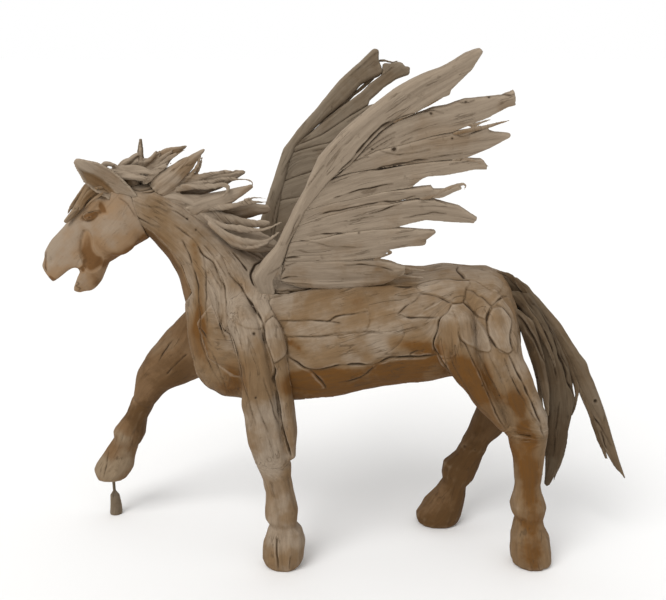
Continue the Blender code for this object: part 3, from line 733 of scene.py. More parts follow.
    def fit_patch(
        self, patch: Patch, pixels: np.ndarray, size: np.ndarray, weight: np.ndarray, where: np.ndarray
    ) -> None:
        """Raise and tint one drawn board, and cut the joint round it."""
        corners = corners_of(patch.outline)
        ring = np.vstack([corners, corners[:1]])
        outline = smooth_run(ring, np.linspace(0.0, 1.0, CORNERS_TO_A_RUN * len(corners), endpoint=False))
        within = inside(pixels, outline)
        distance = path_distance(pixels, np.vstack([outline, outline[:1]]))[0] * size
        if patch.joint:
            uneven = np.clip(0.75 + 0.9 * GRAIN_NOISE.at(self.points[where] * 26.0 + 5.0), 0.05, 1.5)
            self.split_at(distance, patch.joint * uneven, PATCH_JOINT_DEPTH, weight, where)
        share = np.clip(distance / patch.rim, 0.0, 1.0)
        dome = np.sqrt(np.clip(1.0 - (1.0 - share) ** 2, 0.0, 1.0))
        self.points[where] += self.normals[where] * (patch.rise * dome * within * weight)[:, None]
        self.stain[where] -= patch.sun * within * weight * smooth_step(0.0, patch.blend, distance)

    def carve(self, marks: Marks) -> "Carving":
        """Cut the marks that are drawn on the photograph; a thin plank shows them on both faces.

        Args:
            marks: Splits, knots and boards.

        Returns:
            The carving.
        """
        all_pixels, all_sizes = on_photograph(self.points)
        all_pixels = all_pixels + STRAY_PIXELS * FORM_NOISE.drift(self.points * STRAYS_TO_A_METRE)[:, :2]
        sight = EYE - self.points
        facing = (self.normals * unit_rows(sight)).sum(axis=1)
        all_weights = smooth_step(0.02, 0.30, np.abs(facing) if self.form is Form.PLANK else facing)
        for mark in marks:
            path = corners_of(mark.outline if isinstance(mark, Patch) else mark.path)
            low, high = path.min(axis=0) - PIXELS_ROUND_A_MARK, path.max(axis=0) + PIXELS_ROUND_A_MARK
            near = ((all_pixels > low) & (all_pixels < high)).all(axis=1)
            where = np.flatnonzero(near & (all_weights > 0.01))
            if not len(where):
                continue
            pixels, size, weight = all_pixels[where], all_sizes[where], all_weights[where]
            if isinstance(mark, Knot):
                distance = np.linalg.norm(pixels - path[0], axis=1) * size
                self.split_at(distance, np.full_like(distance, 0.4 * mark.radius), mark.depth, weight, where)
                continue
            if isinstance(mark, Patch):
                self.fit_patch(mark, pixels, size, weight, where)
                continue
            path = smooth_run(path, np.linspace(0.0, 1.0, CORNERS_TO_A_RUN * len(path) - 2))
            distance, share = path_distance(pixels, path)
            taper = np.sqrt(np.clip(1.0 - (2.0 * share - 1.0) ** 4, 0.02, 1.0))
            uneven = np.clip(0.52 + 0.50 * GRAIN_NOISE.at(self.points[where] * 40.0), 0.10, 1.1)
            self.split_at(distance * size, mark.half_width * taper * uneven, mark.depth, weight, where)
        self.read_normals()
        return self

    def checks(self, count: int, half_width: float = 0.0013, depth: float = 0.004) -> "Carving":
        """Open drying checks along the grain at seeded places.

        Args:
            count: How many there are.
            half_width: Half the width of each.
            depth: How deep each is.

        Returns:
            The carving.
        """
        chance = np.random.default_rng(self.seed)
        breadth = float(np.abs(self.grain[:, 1]).max())
        wobble = 0.004 * GRAIN_NOISE.at(self.grain * np.array((9.0, 4.0, 4.0)) + self.seed)
        for _ in range(count):
            across = chance.uniform(-0.75, 0.75) * breadth
            start = chance.uniform(-0.9, 0.5) * self.half_length
            length = chance.uniform(0.25, 0.6) * self.half_length
            side = chance.choice((-1.0, 1.0))
            place = (self.grain[:, 0] - start) / length
            taper = np.sqrt(np.clip(1.0 - (2.0 * place - 1.0) ** 2, 0.0, 1.0))
            distance = np.abs(self.grain[:, 1] - across - wobble)
            faces = smooth_step(0.2, 0.6, side * (self.normals @ self.axes[2])) * (taper > 0.02)
            self.split_at(distance, half_width * taper, depth, faces)
        self.read_normals()
        return self

    def swell(self, marks: Swellings, both_sides: bool = True) -> "Carving":
        """Raise, sink and darken soft forms, on both sides of the figure or just where they are drawn; the
        darkening is partly stains and partly painted shade.
        """
        nearer = self.points.copy()
        if both_sides:
            nearer[:, 1] = FIGURE_ORIGIN[1] - np.abs(nearer[:, 1] - FIGURE_ORIGIN[1])
        pixels, size = on_photograph(nearer)
        sideways = smooth_step(0.10, 0.55, np.abs(self.normals[:, 1]))
        for mark in marks:
            path = corners_of(mark.path)
            if len(path) == 1:
                distance = np.linalg.norm(pixels - path[0], axis=1) * size
            else:
                distance = path_distance(pixels, path)[0] * size
            felt = np.exp(-SWELLING_FALL * (distance / mark.reach) ** 2)
            self.push(mark.height * sideways * felt)
            self.stain += mark.stain * felt
        self.read_normals()
        return self

    def nudge(self, moves: Nudges) -> "Carving":
        """Move parts of the piece across the sight, as drawn on the photograph."""
        pixels, size = on_photograph(self.points)
        for move in moves:
            away = np.linalg.norm(pixels - np.array((move.x, move.y)), axis=1)
            felt = np.exp(-NUDGE_FALL * (away / move.reach) ** 2) * size
            self.points += (felt * move.across)[:, None] * RIGHT
            self.points -= (felt * move.down)[:, None] * OVER
        self.read_normals()
        return self

    def cup(self, outline: Path, depth: float, stain: float) -> "Carving":
        """Press a thin shell away from the camera inside a drawn outline, both faces together, and darken its
        faces that look towards the camera there, as painted shade in the hollow.
        """
        pixels, size = on_photograph(self.points)
        corners = corners_of(outline)
        distance = path_distance(pixels, np.vstack([corners, corners[:1]]))[0] * size
        within = inside(pixels, corners) * smooth_step(0.0, HOLLOW_RIM, distance)
        self.points[:, 1] += depth * within
        self.stain += stain * within * smooth_step(0.0, 0.3, -self.normals[:, 1])
        self.read_normals()
        return self

    def edge_values(self) -> np.ndarray:
        """Measure how far each point stands out of the form round it, from -1 to 1."""
        broad = self.points.copy()
        for _ in range(EDGE_ROUNDS):
            broad = self.mean_beside(broad)
        proud = ((self.points - broad) * self.normals).sum(axis=1)
        return np.clip(proud / SHARPEST_EDGE, -1.0, 1.0)

    def keep_on_ground(self) -> "Carving":
        """Hold every point above the ground."""
        self.points[:, 2] = np.maximum(self.points[:, 2], 0.0)
        return self

    def finish(
        self, finish: "WoodFinish", nodes: Names, sun: float = 0.0, most: int = MOST_TRIANGLES
    ) -> bpy.types.Object:
        """Write the shape and the values of its points, and put the piece on the body.

        Args:
            finish: Its finish.
            nodes: Nodes of the frame that it stands for.
            sun: How much paler it is than its finish, or darker where it is less than nothing.
            most: The most triangles that it may keep.

        Returns:
            The finished piece.
        """
        self.read_normals()
        mesh = self.piece.data
        # Faces turned up are paler and faces turned down darker: sun bleaching, and painted light above and
        # painted shade beneath
        upward = 0.5 + 0.5 * self.normals[:, 2]
        patches = TINT_NOISE.layered(self.points * BLEACHED_PATCHES_TO_A_METRE, 3)
        weather = finish.sun + sun + SKYLIGHT_AND_BLEACHING * (upward - 0.5) + PATCHY * patches - self.stain
        grain = self.grain + self.seed * 0.713
        for label, kind, values in (
            ("grain", "FLOAT_VECTOR", grain),
            ("split", "FLOAT", self.split),
            ("weather", "FLOAT", np.clip(weather, 0.0, 1.0)),
            ("edge", "FLOAT", self.edge_values()),
        ):
            layer = mesh.attributes.new(label, kind, "POINT")
            layer.data.foreach_set("vector" if kind == "FLOAT_VECTOR" else "value", values.ravel())
        mesh.materials.append(finish.material())
        share = most / sum(len(face.vertices) - 2 for face in mesh.polygons)
        if share < 1.0:
            apply_modifier(self.piece, "DECIMATE", ratio=share)
        mesh = self.piece.data
        only(self.piece)
        bpy.ops.object.shade_smooth()
        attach(self.piece, "root")
        if nodes:
            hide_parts(*nodes)
        triangles = sum(len(face.vertices) - 2 for face in mesh.polygons)
        log.info("%s: %d triangles", self.piece.name, triangles)
        return self.piece


# Shader groups


class Graph:
    """A node tree under construction, with helpers that add and link its nodes."""

    def __init__(self, tree: bpy.types.NodeTree) -> None:
        """Take a tree to add to."""
        self.tree = tree

    def feed(self, socket: bpy.types.NodeSocket, value: object) -> None:
        """Link a socket to another, or set its value."""
        if isinstance(value, bpy.types.NodeSocket):
            self.tree.links.new(value, socket)
        else:
            socket.default_value = value

    def node(self, kind: str, settings: dict | None = None, **sockets: object) -> bpy.types.Node:
        """Add a node, set it and feed its inputs.

        Args:
            kind: The node's kind without Blender's prefix.
            settings: Values of the node itself.
            **sockets: Inputs by name, with underscores for spaces, each a value or a socket.

        Returns:
            The node.
        """
        node = self.tree.nodes.new(f"ShaderNode{kind}")
        for name, value in (settings or {}).items():
            setattr(node, name, value)
        for name, value in sockets.items():
            self.feed(node.inputs[name.replace("_", " ")], value)
        return node

    def chain(self, node: bpy.types.Node, *values: object) -> bpy.types.NodeSocket:
        """Feed the first inputs of a node in order, and return its first result."""
        for socket, value in zip(node.inputs, values):
            self.feed(socket, value)
        return node.outputs[0]

    def math(self, operation: str, *values: object) -> bpy.types.NodeSocket:
        """Add a math node fed with values or sockets, and return its result."""
        return self.chain(self.node("Math", {"operation": operation}), *values)

    def ramp(
        self, value: object, low: float, high: float, start: float = 0.0, end: float = 1.0
    ) -> bpy.types.NodeSocket:
        """Add a smooth change of range.

        Args:
            value: What is changed.
            low: Value that gives the start.
            high: Value that gives the end.
            start: Result at low.
            end: Result at high.

        Returns:
            The result, held between start and end.
        """
        settings = {"interpolation_type": "SMOOTHSTEP"}
        return self.chain(self.node("MapRange", settings), value, low, high, start, end)

    def mix(self, share: object, one: object, other: object) -> bpy.types.NodeSocket:
        """Add a mix of two colours, and return its result."""
        node = self.node("Mix", {"data_type": "RGBA"})
        for place, value in ((0, share), (6, one), (7, other)):
            self.feed(node.inputs[place], value)
        return node.outputs[2]


class ShaderGroup(Graph):
    """A node group under construction."""

    def __init__(self, name: str, inputs: tuple[tuple[str, str, object], ...], outputs: Names) -> None:
        """Start a group.

        Args:
            name: Name of the group.
            inputs: Name, kind of socket and value of each input.
            outputs: Name of each output, all of them plain values.
        """
        super().__init__(bpy.data.node_groups.new(name, "ShaderNodeTree"))
        for label, kind, value in inputs:
            socket = self.tree.interface.new_socket(label, in_out="INPUT", socket_type=f"NodeSocket{kind}")
            if value is not None:
                socket.default_value = value
        for label in outputs:
            self.tree.interface.new_socket(label, in_out="OUTPUT", socket_type="NodeSocketFloat")
        self.given = self.tree.nodes.new("NodeGroupInput").outputs
        self.result = self.tree.nodes.new("NodeGroupOutput").inputs

    def noise(
        self, place: object, scale: object, detail: float, rough: float = 0.5, distortion: float = 0.0
    ) -> bpy.types.NodeSocket:
        """Add a noise texture, and return its value."""
        node = self.node("TexNoise", Vector=place, Scale=scale, Detail=detail, Roughness=rough)
        node.inputs["Distortion"].default_value = distortion
        return node.outputs[0]

    def give(self, *values: object) -> bpy.types.NodeTree:
        """Link the group's outputs, and return its tree."""
        for socket, value in zip(self.result, values):
            self.feed(socket, value)
        return self.tree


def grain_group() -> bpy.types.NodeTree:
    """Build the grain: long streaks, fibres and open pores that follow the wood.

    Returns:
        A group with a tone, a height and a mask of fine splits.
    """
    inputs = (("Place", "Vector", None), ("Along", "Float", 5.0), ("Across", "Float", 60.0))
    group = ShaderGroup("driftwood_grain", inputs, ("Tone", "Height", "Splits"))
    place, along, across = (group.given[k] for k in range(3))
    scale = group.node("CombineXYZ", X=along, Y=across, Z=across).outputs[0]
    run = group.chain(group.node("VectorMath", {"operation": "MULTIPLY"}), place, scale)
    streaks = group.noise(run, 1.0, 5.0, 0.62, 0.35)
    fibres = group.noise(run, 4.6, 3.0, 0.6)
    lines = group.noise(run, 0.62, 2.0, 0.45, 0.5)
    where = group.noise(place, 13.0, 1.0)
    away = group.math("ABSOLUTE", group.math("SUBTRACT", lines, 0.5))
    splits = group.math("MULTIPLY", group.ramp(away, 0.0, 0.020, 1.0, 0.0), group.ramp(where, 0.50, 0.60))
    tone = group.math("ADD", group.math("MULTIPLY", streaks, 0.65), group.math("MULTIPLY", fibres, 0.35))
    height = group.math("SUBTRACT", tone, group.math("MULTIPLY", splits, 0.8))
    return group.give(group.ramp(tone, 0.30, 0.70), height, splits)


def blotch_group() -> bpy.types.NodeTree:
    """Build the uneven weathering: broad blotches, small stains and knots of darker wood.

    Returns:
        A group with a mask of blotches and a mask of stains.
    """
    inputs = (("Place", "Vector", None), ("Size", "Float", 7.0))
    group = ShaderGroup("weather_blotches", inputs, ("Blotches", "Stains"))
    place, size = group.given[0], group.given[1]
    broad = group.noise(place, size, 4.0, 0.6)
    small = group.noise(place, group.math("MULTIPLY", size, 5.0), 3.0, 0.7)
    return group.give(group.ramp(broad, 0.36, 0.64), group.ramp(small, 0.60, 0.74))


GROUPS: dict[str, bpy.types.NodeTree] = {}
INSIDE_OF_A_SPLIT = (0.038, 0.024, 0.013)


@dataclass(frozen=True)
class WoodFinish:
    """A finish of weathered wood.

    Attributes:
        name: Its own name.
        slot: The record's slot that it belongs to; not used.
        bleached: Colour where sun and rain have greyed it, and on faces turned up, where it stands for
            painted light.
        warm: Colour of the wood that is half weathered, and of faces in half painted shade.
        deep: Colour where neither sun nor rain reaches it, and on undersides and in darkened hollows, where
            it stands for painted shade.
        dark: Colour of its dark streaks.
        sun: How bleached it is on the whole, from 0 to 1.
        along: Streaks to a metre along the grain.
        across: Streaks to a metre across it.
        contrast: How strongly the streaks show.
        relief: Depth of the fine grain in metres.
        roughness: Roughness of its surface.
        splits: How strongly its finest splits show.
    """

    name: str
    slot: str
    bleached: Colour
    warm: Colour
    deep: Colour
    dark: Colour
    sun: float
    along: float = 5.0
    across: float = 70.0
    contrast: float = 0.5
    relief: float = 0.0016
    roughness: float = 0.82
    splits: float = 0.55

    def material(self) -> bpy.types.Material:
        """Build the material once and return it."""
        found = bpy.data.materials.get(f"look_{self.name}")
        if found:
            return found
        material = bpy.data.materials.new(f"look_{self.name}")
        material.use_nodes = True
        graph = Graph(material.node_tree)
        graph.tree.nodes.clear()
        place = graph.node("TexCoord").outputs["Object"]
        run = graph.node("Attribute", {"attribute_name": "grain"}).outputs["Vector"]
        weather, edge, split = (
            graph.node("Attribute", {"attribute_name": label}).outputs["Fac"]
            for label in ("weather", "edge", "split")
        )
        grain = graph.node(
            "Group", {"node_tree": GROUPS["grain"]}, Place=run, Along=self.along, Across=self.across
        ).outputs
        blotch = graph.node("Group", {"node_tree": GROUPS["blotch"]}, Place=place, Size=7.0).outputs
        streak = graph.math("SUBTRACT", 1.0, grain["Tone"])
        pale = tuple(min(1.0, 1.22 * value) for value in self.bleached)
        wander = graph.math("MULTIPLY", graph.math("SUBTRACT", blotch["Blotches"], 0.5), 0.34)
        weathered_and_shaded = graph.math("ADD", weather, wander)
        gap = graph.ramp(split, -0.0012, 0.0004, 0.80, 0.0)
        # The colour runs from deep through warm to bleached as the weathering value rises; that value also
        # carries painted light above and painted shade beneath
        base = (*self.deep, 1.0)
        for share, colour in (
            (graph.ramp(weathered_and_shaded, 0.0, 0.38), self.warm),
            (graph.ramp(weathered_and_shaded, 0.35, 0.90), self.bleached),
            (graph.math("MULTIPLY", streak, self.contrast), self.dark),
            (graph.math("MULTIPLY", blotch["Stains"], 0.30), self.dark),
            # Rims that stand proud are mixed towards a paler tone, as worn edges and as painted highlight;
            # hollows and creases are mixed towards the dark colour, as painted shade.
            (graph.ramp(edge, 0.20, 0.95, 0.0, 0.28), pale),
            (graph.ramp(edge, -0.15, -0.9, 0.0, 0.55), self.dark),
            (graph.math("MULTIPLY", grain["Splits"], self.splits), self.dark),
            (graph.ramp(split, -0.0004, 0.0050, 0.34, 0.0), self.dark),
            (gap, INSIDE_OF_A_SPLIT),
        ):
            base = graph.mix(share, base, (*colour, 1.0))
        height = graph.math("SUBTRACT", grain["Height"], graph.math("MULTIPLY", gap, 1.2))
        bump = graph.node("Bump", Height=height, Strength=0.85, Distance=self.relief)
        shader = graph.node("BsdfPrincipled", Base_Color=base, Normal=bump.outputs[0])
        shader.inputs["Roughness"].default_value = self.roughness
        shader.inputs["Specular IOR Level"].default_value = 0.15
        graph.node("OutputMaterial", Surface=shader.outputs[0])
        return material


SUNNED = WoodFinish(
    "sunned", "sun_bleached_boards", (0.318, 0.251, 0.184), (0.205, 0.128, 0.065), (0.132, 0.055, 0.010),
    (0.072, 0.044, 0.022), 0.60, contrast=0.42,
)
WARM = WoodFinish(
    "warm", "warm_brown_boards", (0.260, 0.190, 0.120), (0.175, 0.100, 0.047), (0.100, 0.050, 0.017),
    (0.062, 0.034, 0.014), 0.30, contrast=0.42,
)
CARVED = WoodFinish(
    "carved", "carved_wood", (0.290, 0.225, 0.162), (0.265, 0.165, 0.088), (0.145, 0.068, 0.022),
    (0.100, 0.055, 0.024), 0.58, along=4.0, across=45.0, contrast=0.17, relief=0.0008, roughness=0.74,
    splits=0.10,
)
GREYED = WoodFinish(
    "greyed", "greyed_boards", (0.205, 0.162, 0.115), (0.142, 0.097, 0.056), (0.078, 0.047, 0.022),
    (0.052, 0.033, 0.018), 0.52, contrast=0.45,
)
# A darker copy of the greyed finish for the same boards: painted shade on the tail's middle and far locks.
SHADED_GREYED = WoodFinish(
    "sheltered", "greyed_boards", (0.125, 0.092, 0.058), (0.086, 0.055, 0.029), (0.044, 0.025, 0.011),
    (0.030, 0.017, 0.008), 0.50, contrast=0.5,
)


# Sub-assemblies


@dataclass
class Trunk:
    """Neck, shoulder, barrel and rump, clad in staves that wander a little.

    Attributes:
        marks: Joints, splits and boards of the side that is seen.
        stains: Where it is darker, paler, proud or sunk; its darkening is partly stains and partly painted
            shade.
        shifts: Where its outline leaves the frame's.
        fillers: Wood that closes the steps inside its joints.
        wander: How far the seams leave their straight run.
        streak: Height of the grain's streaks.
        softness: How far facets are blended.
        axis: Middle of the trunk on the figure, in centimetres, along and up by turns.
    """

    marks: Marks
    stains: Swellings
    shifts: Nudges
    fillers: Strands
    wander: float = 0.006
    streak: float = 0.0017
    softness: float = 0.013
    axis: Path = (
        -61, 114.5, -54, 112.3, -48.5, 107.8, -43.8, 102, -39.5, 94.8, -36.5, 87, -32.5, 78.8, -25.3, 74.8,
        -15, 73.5, -4.3, 73.8, 7, 75, 17, 76.5, 27, 77, 36, 78.5, 44.8, 78.8, 52, 80, 58, 84,
    )

    def outward(self, points: np.ndarray) -> tuple[np.ndarray, np.ndarray]:
        """Find the way out of the trunk and round it.

        Args:
            points: Places on the trunk.

        Returns:
            The outward direction and the direction round the trunk, at each point.
        """
        line = corners_of(self.axis) * CENTIMETRE
        line = np.stack([line[:, 0], np.zeros(len(line)), line[:, 1]], axis=1) + FIGURE_ORIGIN
        runs = [np.linspace(one, other, 12, endpoint=False) for one, other in zip(line[:-1], line[1:])]
        fine = np.concatenate(runs + [line[-1:]])
        runs = unit_rows(np.gradient(fine, axis=0))
        nearest = np.argmin(((points[:, None, (0, 2)] - fine[None, :, (0, 2)]) ** 2).sum(axis=2), axis=1)
        out = points - fine[nearest]
        run = runs[nearest]
        out = unit_rows(out - (out * run).sum(axis=1)[:, None] * run, 1e-6)
        return out, np.cross(run, out)

    def stave(self, name: str, nodes: Names, finish: WoodFinish, voxel: float, sun: float = 0.0) -> None:
        """Carve one stave, or several that are carved as one.

        Args:
            name: Name of the piece.
            nodes: Nodes that it stands for.
            finish: Its finish.
            voxel: Size of its faces.
            sun: How much paler it is than its finish.
        """
        carving = Carving(copied(name, nodes), voxel, Form.STAVE)
        out, around = self.outward(carving.points)
        carving.ease(self.softness, 0.0008, out)
        drift = FORM_NOISE.layered(carving.points * np.array((9.0, 5.0, 5.0)) + 3.1, 2)
        carving.points += around * (self.wander * drift)[:, None]
        carving.read_normals()
        carving.roughen(self.streak, 7.0, 46.0).hew(0.0034, 0.055)
        carving.nudge(self.shifts)
        carving.swell(self.stains)
        if voxel < MIDDLE:
            carving.carve(self.marks)
        else:
            carving.checks(5, 0.0016, 0.005)
        carving.finish(finish, nodes, sun, STAVE_TRIANGLES)

    def near_side(
        self, name: str, boards: Names, limbs: Names, hoof: str, sun: float, most: int,
        fillers: Strands = (),
    ) -> None:
        """Carve boards of the trunk and the leg below them together, with their joints as drawn.

        Args:
            name: Name of the piece.
            boards: Nodes of the trunk that it stands for.
            limbs: Nodes of the leg's boards.
            hoof: Node of the leg's carved foot.
            sun: How much paler it is than its finish.
            most: The most triangles that it may keep.
            fillers: Wood that closes the steps inside its joints.
        """
        nodes = boards + limbs + (hoof,)
        groups = (boards,) + tuple((limb,) for limb in limbs) + ((hoof,),)
        piece = copied(name, nodes, 0.0020)
        if fillers:
            piece = joined([piece, grown(f"{name}_fill", fillers, 8)], name)
        carving = Carving(piece, SEEN, Form.STAVE, groups)
        out = self.outward(carving.points)[0]
        foot = smooth_step(0.3, 0.9, carving.belongs[:, -1]) * smooth_step(0.36, 0.28, carving.points[:, 2])
        carving.ease(self.softness, 0.0010, out, foot)
        carving.roughen(self.streak, 7.0, 46.0).hew(0.0036, 0.055)
        carving.nudge(self.shifts)
        carving.swell(self.stains)
        carving.carve(self.marks)
        carving.keep_on_ground()
        carving.finish(SUNNED, nodes, sun, most)

    def build(self) -> None:
        """Carve every stave of the trunk; those that are seen are carved together with the leg below them."""
        self.near_side(
            "carved_neck_and_near_foreleg",
            ("neck_crest_board", "neck_near_upper_board", "neck_near_middle_board", "neck_near_lower_board",
             "breast_near_board"),
            ("near_foreleg_front_board", "near_foreleg_rear_board"), "near_foreleg_carved_hoof", -0.06,
            NECK_TRIANGLES,
        )
        self.near_side(
            "carved_flank_and_near_hind_leg",
            ("back_board", "croup_board", "flank_near_board_1", "flank_near_board_2", "flank_near_board_3",
             "flank_near_board_4", "rump_near_upper_board", "rump_near_lower_board"),
            ("near_thigh_front_board", "near_thigh_rear_board"), "near_hind_leg_carved_hoof", -0.10,
            FLANK_TRIANGLES, self.fillers,
        )
        # The belly and the lower boards are set darker, partly as painted shade beneath the body.
        for name, finish, voxel, sun in (
            ("throat_board", WARM, NEAR, -0.10),
            ("breast_under_board", WARM, MIDDLE, 0.0),
            ("neck_far_lower_board", SUNNED, FAR, -0.1),
            ("neck_far_upper_board", SUNNED, FAR, 0.0),
            ("belly_board", WARM, MIDDLE, -0.22),
            ("flank_far_lower_board", SUNNED, FAR, -0.15),
            ("flank_far_upper_board", SUNNED, FAR, 0.0),
            ("rump_far_board", SUNNED, FAR, -0.05),
        ):
            self.stave(f"carved_{name}", (name,), finish, voxel, sun)


@dataclass
class Head:
    """The carved head with its eyes, cheeks, mouth, ears and forelock.

    Attributes:
        forms: Soft rises and hollows on both cheeks.
        marks: Lines cut on the side that is seen.
        shifts: Where the head's outline leaves the frame's.
        forelock_shifts: Where the forelock's outline leaves the frame's.
        forelock: Splinters that fill the forelock.
        ear_shifts: Where the near ear's outline leaves the frame's.
        ear_hollow: Outline of the near ear's hollow in pixels, across and down by turns.
    """

    forms: Swellings
    marks: Marks
    shifts: Nudges
    forelock_shifts: Nudges
    forelock: Strands
    ear_shifts: Nudges = (Nudge(77, 165, -1.0, -0.6, 9.0),)
    ear_hollow: Path = (
        76.5, 166, 84, 169, 94, 173, 104, 179, 112, 187, 119, 196, 108, 196, 96, 191, 85, 185, 79, 176,
    )

    def build(self) -> None:
        """Carve the head, the ears and the forelock."""
        head = Carving(copied("carved_horse_head", ("carved_head",)), 0.0026)
        head.ease(0.0070, 0.0010).nudge(self.shifts).swell(self.forms).hew(0.0014, 0.05).carve(self.marks)
        head.finish(CARVED, ("carved_head",), 0.0, HEAD_TRIANGLES)
        ear = Carving(copied("carved_near_ear", ("near_ear",)), 0.0018)
        # The near ear's hollow is pressed in and darkened as painted shade.
        ear.ease(0.0030, 0.0026).nudge(self.ear_shifts).cup(self.ear_hollow, 0.008, 0.50)
        ear.roughen(0.0006, 9.0, 90.0)
        ear.finish(SUNNED, ("near_ear",), 0.22, TUFT_TRIANGLES)
        ear = Carving(copied("carved_far_ear", ("far_ear",)), 0.0022)
        ear.ease(0.0030, 0.0004).roughen(0.0006, 9.0, 90.0).finish(GREYED, ("far_ear",), 0.10)
        lock = Carving(copied("carved_forelock", ("forelock",)), FINE)
        lock.ease(0.0050, 0.0008).nudge(self.forelock_shifts).roughen(0.0024, 6.0, 130.0).fray(0.006, 0.03)
        lock.finish(SUNNED, ("forelock",), -0.10)
        tuft = Carving(grown("forelock_splinters", self.forelock, 3), 0.0019)
        tuft.ease(0.0018)
        tuft.roughen(0.0012, 12.0, 170.0, 2).finish(SUNNED, ("forelock",), -0.12, TUFT_TRIANGLES)


@dataclass
class Locks:
    """Mane and tail: the carved locks of the frame, with wisps beside them.

    Attributes:
        poll: Splinters that stand up behind the ears.
        wisps: Wisps of the mane that fly back.
        tail: Strands and split ends of the tail.
        marks: Deep grooves between the strands.
        shifts: Where the tail's outline leaves the frame's.
    """

    poll: Strands
    wisps: Strands
    tail: Strands
    marks: Marks
    shifts: Nudges

    def lock(self, node: str, finish: WoodFinish, voxel: float, strands: float, sun: float) -> None:
        """Carve the strands of one lock.

        Args:
            node: Node of the lock.
            finish: Its finish.
            voxel: Size of its faces.
            strands: Strands to a metre across it.
            sun: How much paler it is than its finish.
        """
        carving = Carving(copied(f"carved_{node}", (node,)), voxel)
        carving.ease(0.0065, 0.0010)
        carving.roughen(0.0050, 3.0, strands, 2).read_normals()
        carving.roughen(0.0016, 10.0, 3.0 * strands, 2).fray(0.010, 0.05, 90.0)
        carving.nudge(self.shifts)
        carving.carve(self.marks)
        carving.finish(finish, (node,), sun)

    def wisp(self, name: str, strands: Strands, beside: Names, finish: WoodFinish, sun: float) -> None:
        """Grow one bundle of wisps beside the locks that they belong to."""
        carving = Carving(grown(name, strands, len(name)), 0.0021)
        carving.ease(0.0016)
        carving.roughen(0.0036, 5.0, 64.0, 2).read_normals()
        carving.roughen(0.0013, 14.0, 190.0, 2)
        carving.finish(finish, beside, sun, WISP_TRIANGLES)

    def build(self) -> None:
        """Carve the locks of the mane and of the tail, and grow their wisps."""
        for name in ("poll", "crest", "swept", "curled", "thick", "low"):
            self.lock(f"mane_{name}_lock", SUNNED, 0.0026, 62.0, 0.10)
        # The tail's middle and far locks take the darker copy of the greyed finish: painted shade inside the
        # tail.
        for name, finish, sun in (
            ("long", GREYED, -0.05),
            ("middle", SHADED_GREYED, 0.15),
            ("near", GREYED, -0.35),
            ("far", SHADED_GREYED, 0.0),
        ):
            self.lock(f"tail_{name}_lock", finish, 0.0030, 48.0, sun)
        self.wisp("mane_poll_splinters", self.poll, ("mane_poll_lock", "mane_crest_lock"), SUNNED, 0.24)
        self.wisp("mane_flying_wisps", self.wisps, ("mane_swept_lock", "mane_curled_lock"), SUNNED, 0.16)
        self.wisp("tail_split_strands", self.tail, ("tail_long_lock", "tail_middle_lock"), GREYED, -0.25)


@dataclass
class Legs:
    """Thick boards above and carved blocks with hooves below.

    Attributes:
        marks: Joints, splits and rings cut on the side that is seen.
        stains: Where the legs are darker, paler, proud or sunk.
        shifts: Where their outlines leave the frame's.
    """

    marks: Marks
    stains: Swellings
    shifts: Nudges

    def limb(self, leg: str, sun: float, regain: float) -> None:
        """Carve a board of a leg that runs on into its hoof.

        Args:
            leg: Name of the leg in the frame.
            sun: How much paler it is than its finish.
            regain: How far it is swelled again after it is eased.
        """
        nodes = (f"{leg}_upper_board", f"{leg}_carved_hoof")
        piece = copied(f"carved_{leg}", nodes, 0.0012)
        carving = Carving(piece, NEAR, groups=tuple((node,) for node in nodes))
        carving.ease(0.0095, regain, crisp=smooth_step(0.3, 0.9, carving.belongs[:, -1]))
        carving.roughen(0.0015, 5.0, 46.0).hew(0.0028, 0.05).nudge(self.shifts)
        carving.swell(self.stains, both_sides=False)
        carving.carve(self.marks)
        carving.keep_on_ground()
        carving.finish(WARM, nodes, sun, LEG_TRIANGLES)

    def build(self) -> None:
        """Carve both legs of the far side and the prop."""
        self.limb("raised_foreleg", 0.05, 0.0032)
        self.limb("far_hind_leg", -0.20, 0.0012)
        prop = Carving(copied("turned_prop", ("raised_hoof_prop",)), 0.0014)
        prop.ease(0.0012).roughen(0.0002, 20.0, 200.0, 2).nudge(self.shifts).keep_on_ground()
        prop.finish(GREYED, ("raised_hoof_prop",), 0.2, FEW_TRIANGLES)


